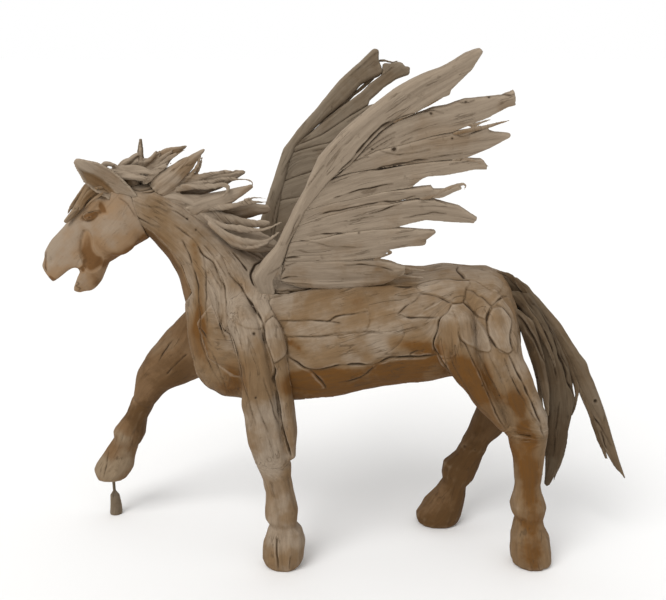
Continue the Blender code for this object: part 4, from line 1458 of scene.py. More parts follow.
@dataclass
class Wings:
    """Both wings: a leading board and feather boards along each.

    Attributes:
        marks: Splits and knots of the near wing.
        bends: Where planks leave the frame's, by wing and by whether they lead it.
        splinters: Splinters that stand off the near boards.
        far_splinters: Splinters that join the far boards.
        lean: How far a wing leans outwards, in radians.
        foot: How far from the middle plane and how high a wing's foot is.
    """

    marks: Marks
    bends: dict[tuple[str, bool], Nudges]
    splinters: Strands
    far_splinters: Strands
    lean: float = math.radians(21.3)
    foot: tuple[float, float] = (0.092, 0.896)

    def plane(self, side: float) -> tuple[np.ndarray, np.ndarray]:
        """Find the plane of a wing.

        Args:
            side: -1 for the near wing and 1 for the far one.

        Returns:
            A point of the plane, and the way that it faces.
        """
        place = np.array((0.0, side * self.foot[0], self.foot[1]))
        return place, np.array((0.0, math.cos(self.lean), -side * math.sin(self.lean)))

    def plank(self, node: str, finish: WoodFinish, voxel: float, sun: float, side: float) -> None:
        """Carve one plank of a wing.

        Args:
            node: Node of the plank.
            finish: Its finish.
            voxel: Size of its faces.
            sun: How much paler it is than its finish.
            side: -1 on the near wing and 1 on the far one.
        """
        carving = Carving(copied(f"carved_{node}", (node,)), voxel, Form.PLANK)
        out = np.array((0.0, side * math.cos(self.lean), -math.sin(self.lean)))
        leading = "leading" in node
        regain = 0.0034 if leading and side > 0 else 0.0014
        carving.ease(0.0055, regain, None if leading else np.broadcast_to(out, carving.points.shape))
        carving.nudge(self.bends.get(("near" if side < 0 else "far", leading), ()))
        carving.roughen(0.0018, 4.0, 75.0).hew(0.0020, 0.06).read_normals()
        if side < 0:
            carving.carve(self.marks)
        carving.checks(3 if side < 0 else 5, 0.0011, 0.0030)
        carving.fray(0.016, 0.055, 60.0, 0.0 if leading else 1.0)
        most = LEADING_TRIANGLES if leading else NEAR_TRIANGLES if side < 0 else FAR_TRIANGLES
        carving.finish(finish, (node,), sun, most)

    def build(self) -> None:
        """Carve every plank of both wings, and their splinters."""
        self.plank("near_wing_leading_board", SUNNED, 0.0030, 0.46, -1.0)
        for number in range(1, 8):
            sun = 0.20 if number == 7 else 0.26 + 0.07 * (number % 2) + 0.02 * number
            self.plank(f"near_wing_feather_{number}", SUNNED, 0.0029, sun, -1.0)
        self.plank("far_wing_leading_board", GREYED, 0.0040, 0.26, 1.0)
        for number in range(1, 6):
            self.plank(f"far_wing_feather_{number}", GREYED, 0.0040, 0.18 + 0.05 * (number % 3), 1.0)
        carving = Carving(grown("wing_splinters", self.splinters, 5, *self.plane(-1.0)), 0.0019)
        carving.ease(0.0016).roughen(0.0009, 14.0, 190.0, 2)
        carving.finish(SUNNED, ("near_wing_feather_2", "near_wing_feather_5"), 0.10)
        carving = Carving(grown("far_wing_splinters", self.far_splinters, 6, *self.plane(1.0)), 0.0024)
        carving.ease(0.0020).roughen(0.0012, 12.0, 150.0, 2)
        carving.finish(GREYED, ("far_wing_feather_1", "far_wing_leading_board"), 0.0, FEW_TRIANGLES)


# Marks drawn on the photograph, in its pixels

PATCHES = (
    Patch((419.9, 283.7, 431.5, 280.4, 448.1, 279, 467.1, 279.8, 469.6, 282.7, 466.7, 290.2, 463.2, 301,
        453, 303, 451.4, 301.8, 441.4, 296.8, 431.5, 293.5, 422.4, 291.9, 416.7, 286.9), 0.004, 0.05),
    Patch((458.2, 267, 468, 267.1, 482.9, 269.9, 495.3, 276.1, 503.6, 284.4, 496.6, 293.1, 482.9, 286,
        472.9, 280.2, 467.1, 278.8, 461.3, 273.6, 458.7, 271), 0.003, 0.06),
    Patch((470.9, 281.9, 474.6, 281.5, 482.9, 286.5, 495.7, 293.3, 502.8, 295.2, 499.5, 298.5, 495.7, 305.9,
        492, 305.8, 482.9, 297.7, 477.9, 296.8, 472.9, 291), sun=0.02),
    Patch((466.7, 290.6, 472.5, 291.9, 477.9, 296.8, 482.9, 297.8, 492, 306.8, 488.7, 313.4, 486.9, 320.5,
        484.6, 319.2, 478.7, 316.7, 474.6, 311.8, 472.1, 311.8, 463.8, 302), 0.003, 0.04, 0.0006),
    Patch((452.2, 304.5, 454, 314, 459, 326.5, 460.5, 336, 458.5, 346, 453, 357.4, 441.4, 357.4,
        435.2, 348.2, 435.2, 339.9, 438.3, 326.7, 441.8, 316.7, 448.9, 309.3), 0.0045, 0.02),
    Patch((492.8, 308.4, 502, 308.4, 510.3, 318.4, 511.1, 325, 509.4, 335, 510.3, 343.3, 512.7, 349.9,
        507.8, 353.6, 499.5, 352.4, 493.7, 344.9, 489.5, 338.3, 488.7, 330, 487.5, 321.7, 489.5, 313.4),
        0.005, 0.08),
    Patch((451.5, 304.5, 462.5, 303, 471, 309, 477, 317.5, 484.5, 327, 489.5, 338, 491.5, 347.5, 487.5, 352,
        479.5, 350.5, 472, 346.5, 465, 343.5, 460, 336, 458.5, 326.5, 453.5, 314), 0.0045, 0.14, rim=0.008,
        blend=0.004),
    Patch((503.2, 295.6, 511.1, 298.5, 515.2, 313.4, 517.3, 325, 517.7, 351.6, 514.4, 349.9, 510.4, 339.9,
        511.3, 321.7, 509.8, 316.7, 502.1, 307.8, 496.2, 305.1, 499.6, 298.7), sun=-0.06, joint=0.0006),
    Patch((398.3, 311.8, 405.8, 306.8, 414.9, 300.6, 424, 292.8, 434.8, 295.3, 441.4, 297.7, 439.8, 301.8,
        424.9, 310.9, 420.7, 315.5, 408.3, 316.9), -0.002, -0.1),
    Patch((441.6, 298.1, 451.2, 303.9, 448.1, 310.9, 441, 316.9, 427.3, 317.1, 420.9, 315.9, 425, 311.1,
        439.8, 302), -0.0015, -0.14),
    Patch((298.7, 290.5, 322.1, 285.9, 335.4, 281.5, 353.8, 284.1, 361.9, 284.6, 365.5, 294.6, 368.1, 307.9,
        354.8, 311.4, 340.5, 315, 326.2, 320.1, 288.5, 320.1, 291.7, 315, 293.1, 295.6), 0.002, -0.06),
    Patch((288.5, 320.9, 326.2, 320.9, 340.5, 315.4, 354.8, 311.8, 368.1, 308.9, 367, 330.3, 349.7, 333.4,
        336.4, 335.4, 287.4, 336.4, 284.4, 327.2), 0.0035, 0.08),
    Patch((287.4, 337, 336.4, 335.9, 349.7, 334, 367, 331.6, 386.4, 331.6, 402.5, 331, 401.7, 338.5,
        392.6, 348.7, 371.6, 363, 353.8, 364.6, 340.5, 366, 322.1, 368.3, 309.1, 369.1, 288.7, 355), 0.0045,
        -0.02),
    Patch((288.5, 356, 308.9, 369.8, 316, 375.7, 325.2, 386.4, 317, 389.5, 291.7, 386.9, 287.1, 367), 0.0035,
        -0.04),
    Patch((371.1, 364.2, 387.4, 358.1, 418.1, 357, 428.3, 356.8, 442.6, 354.8, 444.6, 375.2, 425, 378.3,
        407.9, 380.3, 380.3, 382.3, 375.2, 373.2), 0.003, -0.18),
    Patch((384.4, 318.3, 425, 318.9, 440.5, 318.1, 437.4, 336.4, 438.5, 352.8, 425, 356.3, 402.8, 355.8,
        387.4, 357.3, 371.6, 363.2, 392.6, 348.7, 401.7, 338.5, 403.8, 330.3, 397.7, 319.1), 0.003, -0.04),
    Patch((232.6, 252.9, 244.2, 263.4, 250.5, 271.8, 256, 285.7, 273.7, 292.4, 273.7, 302.4, 265.3, 319.2,
        264.2, 323.4, 249.5, 303.4, 237.9, 286.6, 228.9, 272.9, 223.2, 256.1), 0.003, 0.03),
    Patch((220.5, 253.9, 228.9, 273.1, 237.9, 286.8, 249.5, 303.6, 263.7, 323.6, 252.6, 329.7, 240, 324.5,
        226.8, 315, 225.5, 295, 220.2, 280.3, 213.9, 260.3), 0.004, 0.05),
    Patch((273.2, 315, 277.9, 321.3, 284.2, 332.9, 286.3, 345.5, 284.2, 356.1, 275.8, 362.9, 271.6, 359.2,
        265.3, 336.1, 265.3, 323.4), 0.006, 0.06, 0.001),
)
JOINT_FILLERS = (
    Strand((505, 429, 516, 433, 529, 436, 542, 437), (-0.138, -0.132), 0.026, 0.02, 2, 0.006),
    Strand((508, 430, 518, 433, 529, 436, 540, 437), (-0.094, -0.09), 0.024, 0.018, 2, 0.005),
)
BODY_SHIFTS = (
    Nudge(310, 396, 0, -1.6, 30), Nudge(360, 391, 0, -2, 30), Nudge(410, 384, 0, -2, 30),
    Nudge(447, 377, 0, -1.8, 18), Nudge(422, 266, 0, 2.4, 26), Nudge(462, 264, 0, 1.8, 22),
    Nudge(208, 385, -1.6, 2, 12), Nudge(244, 406, -2, 0, 14), Nudge(292, 457, 1.5, 0, 9),
    Nudge(303, 538, 1.8, 0, 16), Nudge(466, 392, 1.4, -1.2, 14),
)
FAR_LEG_SHIFTS = (
    Nudge(493, 443, -3, -0.6, 12), Nudge(468, 430, 1, 0.6, 14), Nudge(417, 513, -1.4, 0, 10),
    Nudge(97, 462, -1.4, 0, 14), Nudge(131, 466, 1.8, 0.6, 14), Nudge(120, 505, 1.2, 0, 16),
)
# Mostly darker places along the throat, breast, belly, flank, haunch and back: partly stains in the wood,
# partly painted shade.
BODY_STAINS_AND_SHADE = (
    Swelling((194, 245, 199, 275, 200, 300, 199, 330), 0.022, 0, 0.44),
    Swelling((199, 330, 208, 366, 228, 390), 0.045, 0, 0.34), Swelling((222, 365, 240, 385), 0.035, 0, 0.25),
    Swelling((296, 388, 340, 390, 380, 382, 420, 374, 452, 366), 0.06, 0, 0.5),
    Swelling((395, 342, 420, 346, 436, 348), 0.035, 0, 0.58),
    Swelling((450, 340, 462, 360, 478, 384), 0.05, 0, 0.2), Swelling((350, 348, 368, 356), 0.026, 0, 0.24),
    Swelling((292, 342, 304, 354), 0.02, 0, 0.34), Swelling((300, 300, 342, 292, 360, 300), 0.028, 0, 0.16),
    Swelling((342, 292), 0.01, 0, 0.16), Swelling((216, 290, 214, 330), 0.03, 0, -0.06),
    Swelling((262, 292, 300, 290, 335, 283, 395, 285), 0.012, -0.0012, 0.1),
    Swelling((380, 280, 420, 276, 470, 272, 500, 282), 0.045, 0, 0.14),
    Swelling((340, 325, 380, 322), 0.05, 0, 0.18), Swelling((300, 376, 360, 372, 430, 364), 0.028, 0, 0.5),
    Swelling((222, 340, 236, 372), 0.04, 0, 0.12),
)
FLANK_MARKS = (
    Split((262, 287, 270, 290.4, 280, 290.8, 295.5, 290.4, 312, 286.6, 322, 284), 0.0034, 0.01),
    Split((318, 285, 333.8, 281.5, 349, 284, 367, 285.3, 392.4, 284.7, 408, 284.5), 0.0016, 0.005),
    Split((404, 284.8, 418, 284, 425.6, 282, 440, 280, 470, 279.6), 0.002, 0.006),
    Split((279, 321, 308, 321, 327.4, 321, 336.3, 316, 358, 313.4, 367, 311.5)),
    Split((327, 320.4, 334, 321.5, 341.4, 323), 0.0022, 0.006),
    Split((287.9, 336.3, 321, 336.3, 341.4, 332.5, 359.3, 332.5, 382, 331.9), 0.0018, 0.005),
    Split((289, 356.7, 299.3, 363, 309.5, 369.5, 326, 367.6, 351.6, 363.8, 372, 364.4, 390, 358, 405, 356.7,
        437, 354.5), 0.0034, 0.01), Split((309.5, 369.5, 316, 375, 321, 381, 326, 388.6), depth=0.009),
    Split((397.6, 314.6, 405, 307, 415.4, 300.6, 420.5, 294), 0.0026, 0.007),
    Split((420.5, 293, 430, 294, 439.6, 297.4, 451, 303), 0.0026, 0.007),
    Split((397.6, 314.6, 410, 317.8, 437, 317.8), 0.0026, 0.007),
    Split((409, 354, 414, 351, 419, 349.7), 0.0026, 0.007), Split((424, 309.5, 434.5, 302), 0.0018, 0.004),
    Split((326, 286.6, 335, 286, 344, 286)), Split((393.7, 286.6, 403, 286.5, 412.9, 286), 0.0036),
    Split((398.8, 274.5, 406, 273.4, 412.9, 272.6), 0.0034, 0.009),
    Split((338.9, 382, 346, 381, 359, 378, 370, 370, 378, 363), 0.0024, 0.006),
)
NECK_MARKS = (
    Split((261.6, 258.7, 256, 265, 251.4, 272.7, 252, 279, 255.3, 284.2, 262, 288, 271.8, 291.8, 284, 293.4,
        294.8, 290.6, 311.4, 288), 0.0046, 0.012),
    Split((229, 272.7, 240, 286.7, 251.4, 303.3, 263.5, 322.4), 0.0036, 0.012),
    Split((196.6, 243.4, 204, 254.8, 213, 262.5, 218.3, 274, 224, 286.7, 226, 298, 227, 311), 0.0028),
    Split((232.3, 252.3, 240, 260, 247.6, 271.4), 0.0042, 0.01),
    Split((204, 254.8, 206, 276.5, 206, 297, 207.4, 326.3), 0.002, 0.006),
    Split((221.5, 314.8, 222, 327.6, 229.7, 335.2, 234.8, 346.7, 241.2, 373.5, 242.5, 383.7), 0.0026, 0.007),
    Split((199, 327.6, 205, 336, 211.9, 345.4), 0.002, 0.006),
    Split((218, 302, 219, 316, 222, 330, 226, 340), 0.002, 0.005),
    Split((182, 240, 192, 262, 198, 288, 199.5, 312, 200, 330), 0.0022, 0.006),
    Split((199, 328, 202, 346, 210, 366, 222, 386), 0.0018, 0.005),
    Split((229, 330, 236, 350, 240, 372), 0.0016, 0.004),
    Split((212, 352, 220, 372, 226, 390), 0.0018, 0.005),
    Split((125, 180, 140, 181.5, 158, 180), 0.002, 0.005),
    Split((125, 187, 140, 191, 150, 188.5, 162, 184), 0.0018, 0.005),
    Split((142, 193, 150, 192, 157, 189), 0.002, 0.005), Split((130, 200, 146, 206, 160, 207), 0.0014, 0.004),
    Split((119.6, 198, 127.8, 204.6, 136, 216, 149.4, 224.5, 160, 227), 0.0022, 0.006),
    Split((156, 183, 167.6, 194.7, 179.3, 197, 189, 206.3, 209, 219.6), 0.0028),
    Split((184.5, 201.3, 195.3, 211.5, 210.6, 223, 222, 234.4, 240, 244.6, 269.3, 245.3), 0.0034, 0.01),
    Split((168, 209, 178, 213, 190, 222), 0.0018, 0.005),
    Split((174, 225, 190, 236, 196.6, 243.4), 0.0016, 0.005), Knot((187, 219), 0.008), Knot((196, 229)),
    Knot((254, 334), 0.01, 0.006),
)
HAUNCH_MARKS = (
    Split((477, 319, 483, 327, 489, 338, 491.5, 347), 0.0014, 0.004),
    Split((457.7, 266, 456.8, 271.6, 464.8, 277.9), 0.0026, 0.007),
    Split((451, 303, 456, 303.6, 463.4, 302.2, 465.7, 295.7, 467, 288), 0.002, 0.005),
    Split((463.4, 302.2, 473.8, 312.7, 478.2, 317.1), 0.0026, 0.007),
    Split((451.4, 303.8, 447, 312.7, 440.7, 318, 438, 328.8, 434.5, 340.4, 435.4, 349.3, 441.6, 360.9,
        451.4, 373.8), 0.0032, 0.01),
    Split((480, 296.6, 485.4, 300.2, 491.6, 305.5, 497.9, 300.2, 506.8, 295.7), 0.0026, 0.007),
    Split((491.6, 305.5, 487, 315.4, 487, 324.3, 488, 333.2, 492.5, 342, 497.9, 349.3, 508, 353.6), 0.0034,
        0.01),
    Split((502, 308.4, 510.3, 318.4, 511.1, 325, 509.4, 335, 510.3, 343.3, 512.7, 349.9, 507.8, 353.6),
        0.0022, 0.006),
    Split((458.5, 329, 460, 337.7, 465.7, 344.6, 470.3, 353.8, 474.6, 362.7, 487.3, 391, 496, 412.8,
        504.8, 428), 0.0024, 0.007), Split((488, 353, 496, 368, 503, 384), 0.0014, 0.004),
    Split((478, 352, 484, 366, 494, 386, 506, 408), 0.0012, 0.003), Knot((483, 386)),
    Knot((499, 396), 0.005, 0.003), Split((509, 353.9, 522, 382.2, 535.4, 410.7, 544, 436.8), depth=0.009),
    Split((504.8, 358, 513.5, 382, 528.8, 408.5, 539.7, 426), 0.002, 0.006),
    Split((453.2, 358.2, 454, 367, 470, 394, 490, 418), 0.0016, 0.004),
)
LEG_MARKS = (
    Split((263.5, 322, 263, 333, 270, 353, 274, 367, 273.5, 377, 276.7, 397, 280, 418, 286, 440, 291, 456),
        0.0044, 0.016), Split((240, 372, 246, 392, 256, 425), 0.0022, 0.006),
    Split((256, 396, 259, 410, 268, 432), 0.002, 0.006), Split((264, 378, 270, 400, 280, 430), 0.0018, 0.005),
    Split((187, 354, 176, 364, 166, 374), 0.0028), Split((174, 340, 165, 350, 158, 362), 0.002, 0.006),
    Split((276.6, 538, 277, 552, 278, 569), depth=0.01), Split((291, 556, 290, 569), 0.0016, 0.005),
    Split((108.5, 452, 106, 464, 103, 477), 0.0022, 0.005), Knot((256, 398), 0.008),
)
WING_MARKS = (
    Split((372, 170, 382, 168.2, 396, 165, 412, 162, 429, 159.2), 0.0044, 0.005),
    Split((320, 214.7, 344, 209.5, 368.7, 204, 396, 201, 415, 195.6), 0.0036, 0.005),
    Split((333.5, 198.4, 352.5, 191.7, 374.2, 187.6, 393.1, 183.5)),
    Split((329.5, 182.2, 336.2, 175.4, 349.8, 161.9, 363.3, 145.6, 382.3, 126.7, 401.2, 117.2, 417.5, 112.6),
        0.0034, 0.009), Split((368.7, 213.3, 382.3, 210.6, 401.2, 202.5), 0.002, 0.006),
    Split((401.2, 143.2, 412.1, 137.8), 0.0026, 0.006),
    Split((310.5, 236.3, 328.1, 233.6, 345, 234), 0.0026, 0.007),
    Split((284, 258, 292, 256.8, 300, 257), 0.0024, 0.006),
    Split((278, 279, 288, 277.5, 297, 277.6), depth=0.007), Split((280, 275, 285, 268), 0.0022, 0.005),
    Split((300, 240, 330, 246, 356, 248), 0.0016, 0.005),
    Split((345, 265, 375, 266, 392, 271), 0.0022, 0.005),
    Split((300, 214, 292, 232, 286, 244), 0.0014, 0.004),
    Split((296, 262, 280, 268, 268, 275), 0.0012, 0.004),
    Split((455.4, 133.4, 463.5, 136.1, 482.5, 129.4), 0.0026, 0.006),
    Split((498, 93, 506, 93.5, 513, 95), 0.0018, 0.004), Split((380, 150, 400, 155, 430, 150), 0.0014, 0.004),
    Split((424, 111.6, 434, 110.6, 443, 112.4), depth=0.006),
    Split((458, 101, 466, 103, 474, 101), 0.002, 0.005), Split((404, 218, 424, 214, 446, 213), 0.0016, 0.004),
    Knot((394, 149), 0.015, 0.012), Knot((431, 114), 0.009, 0.003), Knot((466, 102), 0.008, 0.003),
    Knot((452, 139), 0.008, 0.003), Knot((359, 233), depth=0.003), Knot((372, 150), 0.007, 0.003),
    Knot((489, 97), 0.007, 0.003),
)
HEAD_SHIFTS = (
    Nudge(44, 258, 2.2, 0.5, 16), Nudge(73, 290, 3.4, 0.5, 11), Nudge(74, 267.5, 4, -1, 7),
    Nudge(97, 290, 1.4, 2.2, 14),
)
FORELOCK_SHIFTS = (Nudge(72, 205, 3.4, 1.2, 26),)
FORELOCK_SPLINTERS = (
    Strand((94, 186, 86, 193, 78, 203, 72, 213), (-0.045, -0.04), 0.01, 0.003, 3, 0.007),
    Strand((100, 188, 94, 192, 86, 200, 79, 211), (-0.06, -0.055), 0.009, 0.0024, 3, 0.006),
    Strand((88, 184, 80, 194, 73, 206, 66.5, 216.5), (-0.03, -0.03), 0.009, copies=2, spread=0.005),
    Strand((104, 192, 96, 197, 90, 203, 84, 209), (-0.07, -0.068), tip=0.0018, copies=2, spread=0.004),
    Strand((106, 186, 98, 192, 92, 199, 88, 205), (-0.04, -0.035), 0.013, 0.006, 2, 0.005),
)
# The hollows under the brow, behind the eye, down the cheek, at the nostril and along the jaw are sunk and
# darkened, and the line of the mouth is darkened: painted shade. The brow ridge stands proud and is a little
# paler: painted light.
HEAD_FORMS = (
    Swelling((74, 215, 80, 208.5, 86, 204, 94, 201, 102, 200), 0.011, 0.0048, -0.1),
    Swelling((83, 218, 91, 215.5, 99, 213), 0.012, -0.0048, 0.45),
    Swelling((86.5, 217.6, 91, 216.2), 0.0066, 0.004, 0.1),
    Swelling((100, 206, 106, 213), 0.009, -0.0015, 0.3),
    Swelling((83, 230, 80, 240, 80, 251, 86, 262), 0.015, -0.0045, 0.1),
    Swelling((84, 262, 83, 271), 0.008, -0.002, 0.45),
    Swelling((94, 240, 104, 251, 114, 257), 0.024, -0.001, 0.3), Swelling((88, 268, 97, 284), 0.026, 0, 0.26),
    Swelling((60, 222, 52, 240, 47, 256), 0.02, 0.002, -0.22),
    Swelling((45.5, 257, 45.5, 268), 0.008, -0.003, 0.3),
    Swelling((50, 277, 57, 282, 66, 275, 76, 270, 84, 267), 0.008, 0.001, 0.55),
    Swelling((75, 286, 84, 293, 93, 290), 0.013, 0.0015, 0.1), Swelling((118, 226), 0.048, 0.0035, -0.05),
    Swelling((104, 264, 120, 258, 136, 248, 146, 238), 0.023, -0.001, 0.38),
    Swelling((128, 238, 136, 232), 0.016, 0, 0.18),
)
# The sunk hollow down the cheek and the sunk patch behind the eye are darkened: painted shade in the hollows.
# The eye's sunk ring is darkened too.
HEAD_MARKS = (
    Patch((82, 230, 88, 229, 92, 236, 94, 246, 98, 253, 103, 258, 101, 267, 93, 273, 86, 271, 82, 262,
        79, 252, 79, 240), -0.005, -0.5, rim=0.018, blend=0.016),
    Patch((81, 219.5, 84, 214, 89, 211.5, 95, 211, 98, 214.5, 94, 220.5, 87, 222.5), -0.0024, -0.8,
        rim=0.006, blend=0.007),
    Patch((97, 199, 104, 201, 108, 211, 103, 217, 97, 210), -0.0012, -0.36, rim=0.01, blend=0.012),
    Knot((88.4, 217.4), 0.0075, 0.002),
    Split((80.5, 219.5, 84, 214.5, 89, 212, 95, 210.5, 100, 211.5), 0.002, 0.0034),
    Split((82, 220.5, 87, 221.5, 93, 219.5, 99, 214), 0.0018, 0.0028),
    Split((46.5, 252, 45.2, 258, 45.2, 265, 47.2, 271.5), 0.0026, 0.006),
    Split((50, 277.5, 57, 282, 66, 275.5, 76, 270.5, 85, 266.5), 0.0014, 0.0025),
    Split((119.6, 198, 127.8, 204.6, 136, 216), 0.0022, 0.004),
    Split((75, 281, 79, 283.5, 76, 286, 80, 288, 78, 291), 0.002, 0.005),
)
POLL_SPLINTERS = (
    Strand((141, 172, 140.5, 160, 140.3, 148, 139.8, 138.5), (-0.01, -0.01), 0.011, 0.0008),
    Strand((116, 178, 124, 166, 132, 158, 141, 154), (-0.02, -0.01), 0.013, 0.003, 4, 0.007),
    Strand((128, 178, 142, 166, 152, 158, 160, 151), (-0.01, 0), 0.013, 0.002, 4, 0.006),
    Strand((136, 180, 152, 168, 163, 158, 172.5, 150.5), (-0.01, 0.01), 0.014, 0.0022, 4, 0.006),
    Strand((144, 178, 160, 167, 170, 158, 177.5, 153), (-0.02, -0.01), 0.012, 0.002, 3, 0.005),
    Strand((150, 176, 165, 162, 178, 154, 187.6, 148.4), (-0.01, -0.02), 0.008, copies=2, spread=0.003),
    Strand((143, 182, 155, 174, 164, 167, 170, 162), (-0.04, -0.03), 0.01, 0.0024, 4, 0.006),
    Strand((100, 168, 106, 163, 114, 165, 124, 170), (-0.03, -0.04), 0.008, 0.004, 3, 0.005),
    Strand((106, 172, 120, 174, 134, 178, 150, 180), (-0.04, -0.05), 0.014, 0.005, 4, 0.008),
    Strand((112, 170, 128, 168, 142, 170, 156, 174), (-0.03, -0.04), 0.014, 0.005, 4, 0.008),
    Strand((120, 170, 134, 164, 148, 161, 160, 160), (0.02, 0.03), 0.015, 0.004, 4, 0.01),
    Strand((118, 178, 136, 174, 152, 171, 168, 170), (0.03, 0.04), 0.015, 0.004, 4, 0.01),
)
MANE_WISPS = (
    Strand((150, 186, 170, 184, 190, 179, 208, 175, 226, 172, 243, 172), (-0.02, -0.03), 0.02, 0.002, 2,
        0.004), Strand((233, 170.4, 240, 170.6, 245, 171.8, 241.5, 174.6), (-0.025, -0.03), 0.0042, 0.001),
    Strand((160, 192, 180, 188, 202, 184, 224, 180, 240, 180), (-0.03, -0.03), 0.019, 0.003, 3, 0.005),
    Strand((236, 179.4, 246, 179.6, 252, 182, 251.5, 186.5, 247, 189.4, 242, 190.2), (-0.01, -0.02), 0.0034,
        0.001),
    Strand((180, 186, 196, 187, 212, 186, 223, 185, 228, 187.5, 226, 193, 219, 198), (-0.045, -0.05), 0.011,
        0.0044), Strand((224, 236, 238, 246, 250, 253, 264, 260), (0, 0.02), 0.02, 0.012, 2, 0.005),
    Strand((206, 210, 228, 218, 248, 223, 270, 223), (-0.02, -0.03), 0.018, 0.012, 2, 0.005),
    Strand((184, 184, 194, 176, 200, 166, 202, 155), (-0.02, -0.02), 0.01, 0.003, 2, 0.004),
    Strand((196, 206, 208, 212, 220, 218), (-0.02, -0.02), 0.016, 0.01),
    Strand((170, 198, 190, 199, 208, 199, 224, 199, 234, 198, 240, 194.5), (-0.03, -0.03), 0.017, 0.0016, 2,
        0.004), Strand((160, 196, 178, 198, 196, 203, 210, 208), (-0.03, -0.03), 0.023, 0.012, 2, 0.005),
    Strand((172, 204, 192, 212, 212, 222, 230, 232), (-0.02, -0.03), 0.024, 0.012, 2, 0.005),
    Strand((168, 186, 184, 179, 196, 168, 200, 158, 202.8, 151), (-0.03, -0.03), 0.01, 0.001, 2, 0.004),
    Strand((190, 204, 212, 208, 232, 206, 248, 202, 268, 202.5), (-0.03, -0.04), 0.013, 0.005, 2, 0.004),
    Strand((244, 200, 256, 197.6, 268, 199), (-0.04, -0.04), 0.0056, 0.0026),
    Strand((204, 216, 222, 226, 244, 230, 264, 229, 282, 222), (-0.05, -0.06), 0.013, 0.0024, 2, 0.004),
    Strand((208, 222, 226, 236, 246, 242, 266, 241, 280, 231), (-0.06, -0.07), 0.014, 0.0034, 3, 0.005),
    Strand((222, 236, 240, 246, 256, 248, 270, 243), (-0.065, -0.07), 0.009, 0.0024, 2, 0.004),
)
TAIL_STRANDS = (
    Strand((520, 300, 536, 322, 546, 342, 552, 360, 560, 384), (-0.05, -0.05), 0.011, 0.003, 3, 0.007),
    Strand((514, 305, 526, 333, 534, 360, 539, 386, 542, 414, 543, 446), (-0.04, -0.03), 0.01, 0.004, 2,
        0.004),
    Strand((558, 342, 569, 366, 576, 386, 576, 400, 572, 416), (-0.02, -0.02), 0.011, 0.005, 2, 0.004),
    Strand((552, 384, 556, 410, 557, 440, 553, 483), (-0.02, -0.02), 0.009, 0.0026, 2, 0.004),
    Strand((568, 424, 565, 444, 560, 464, 552, 484), (-0.02, -0.02), 0.009, 0.003),
    Strand((548, 420, 545, 446, 543, 462, 542, 477), (-0.01, -0.01), 0.008, 0.004),
    Strand((578, 384, 590, 412, 598, 436, 606, 459), (-0.005, 0), 0.01, 0.005, 2, 0.003),
    Strand((498, 271, 512, 277, 526, 292, 538, 312), (-0.02, -0.04), 0.0075, 0.004, 2, 0.004),
)
TAIL_SHIFTS = (Nudge(587, 362, 2.4, -1, 12), Nudge(529, 285, 1.2, -1.6, 9))
TAIL_MARKS = (
    Split((518, 314.6, 531, 334, 542, 356, 545, 362.6), 0.0034, 0.014),
    Split((548.5, 325.5, 555, 343, 562.7, 364.8, 568, 382, 574.7, 395.4), 0.0034, 0.014),
    Split((560.5, 402, 556, 426, 552.8, 456.5), depth=0.012),
    Split((522, 303.7, 539.7, 325.5, 550.6, 347.3, 557.2, 382.3), depth=0.014),
    Split((530, 300, 545, 318, 557, 342, 567, 366), 0.0022, 0.009),
    Split((570, 384, 584, 404, 599, 425, 612, 446), 0.0024, 0.01),
    Split((510, 280, 524, 296, 536, 314), 0.0022), Knot((595.4, 402), 0.012, 0.014),
    Split((599.8, 430, 604, 440, 607.4, 450), 0.0034, 0.014),
)
# The near hind leg's thigh, cannon and hoof are darkened, partly as the wood's warmer tone and partly as
# painted shade beneath the body; the near foreleg is made a little paler.
LEG_STAINS_AND_SHADE = (
    Swelling((288, 520, 292, 545, 294, 565), 0.05, 0, -0.08),
    Swelling((262, 440, 272, 470, 280, 500), 0.05, 0, -0.18), Swelling((256, 360, 262, 400), 0.04, 0, 0.02),
    Swelling((286, 380, 292, 430), 0.025, 0, 0.12), Swelling((528, 470, 530, 500), 0.06, 0, 0.56),
    Swelling((530, 525, 532, 560), 0.07, 0, 0.52), Swelling((470, 380, 490, 415, 512, 450), 0.07, 0, 0.56),
    Swelling((514, 396, 530, 440), 0.045, 0, 0.62), Swelling((484, 366, 498, 396), 0.03, 0, 0.2),
)
FAR_LEG_STAINS = (
    Swelling((98, 466, 112, 470, 126, 462), 0.055, 0, -0.62), Swelling((112, 428, 126, 440), 0.04, 0, -0.4),
    Swelling((172, 360, 150, 384), 0.045, 0, -0.06), Swelling((178, 376, 150, 400, 132, 414), 0.03, 0, 0.18),
    Swelling((426, 512, 440, 490), 0.05, 0, -0.16), Swelling((470, 420, 485, 445), 0.05, 0, 0.16),
)
WING_BENDS = {
    ("near", True): (
        Nudge(268, 276, -12, 2, 20), Nudge(266, 256, -6, 0, 14), Nudge(477, 55, 4.5, -4.5, 11),
        Nudge(440, 66, 0.6, 1.2, 20),
    ),
    ("near", False): (
        Nudge(512, 98, 4, 1, 9), Nudge(506, 134, 4, -0.5, 8), Nudge(482, 163, 5, 0, 10),
        Nudge(461, 186, 1.6, 0, 6), Nudge(474, 215, 3, 0.5, 9), Nudge(430, 236, 2.4, 0, 10),
    ),
    ("far", True): (Nudge(372, 55, 1.2, -2.6, 10), Nudge(379, 70, 2.4, 0, 10)),
    ("far", False): (
        Nudge(292, 165, -3.2, 0, 22), Nudge(284, 205, -4, 0, 22), Nudge(278, 240, -3, 0, 20),
        Nudge(404, 67, 3, 0, 8),
    ),
}
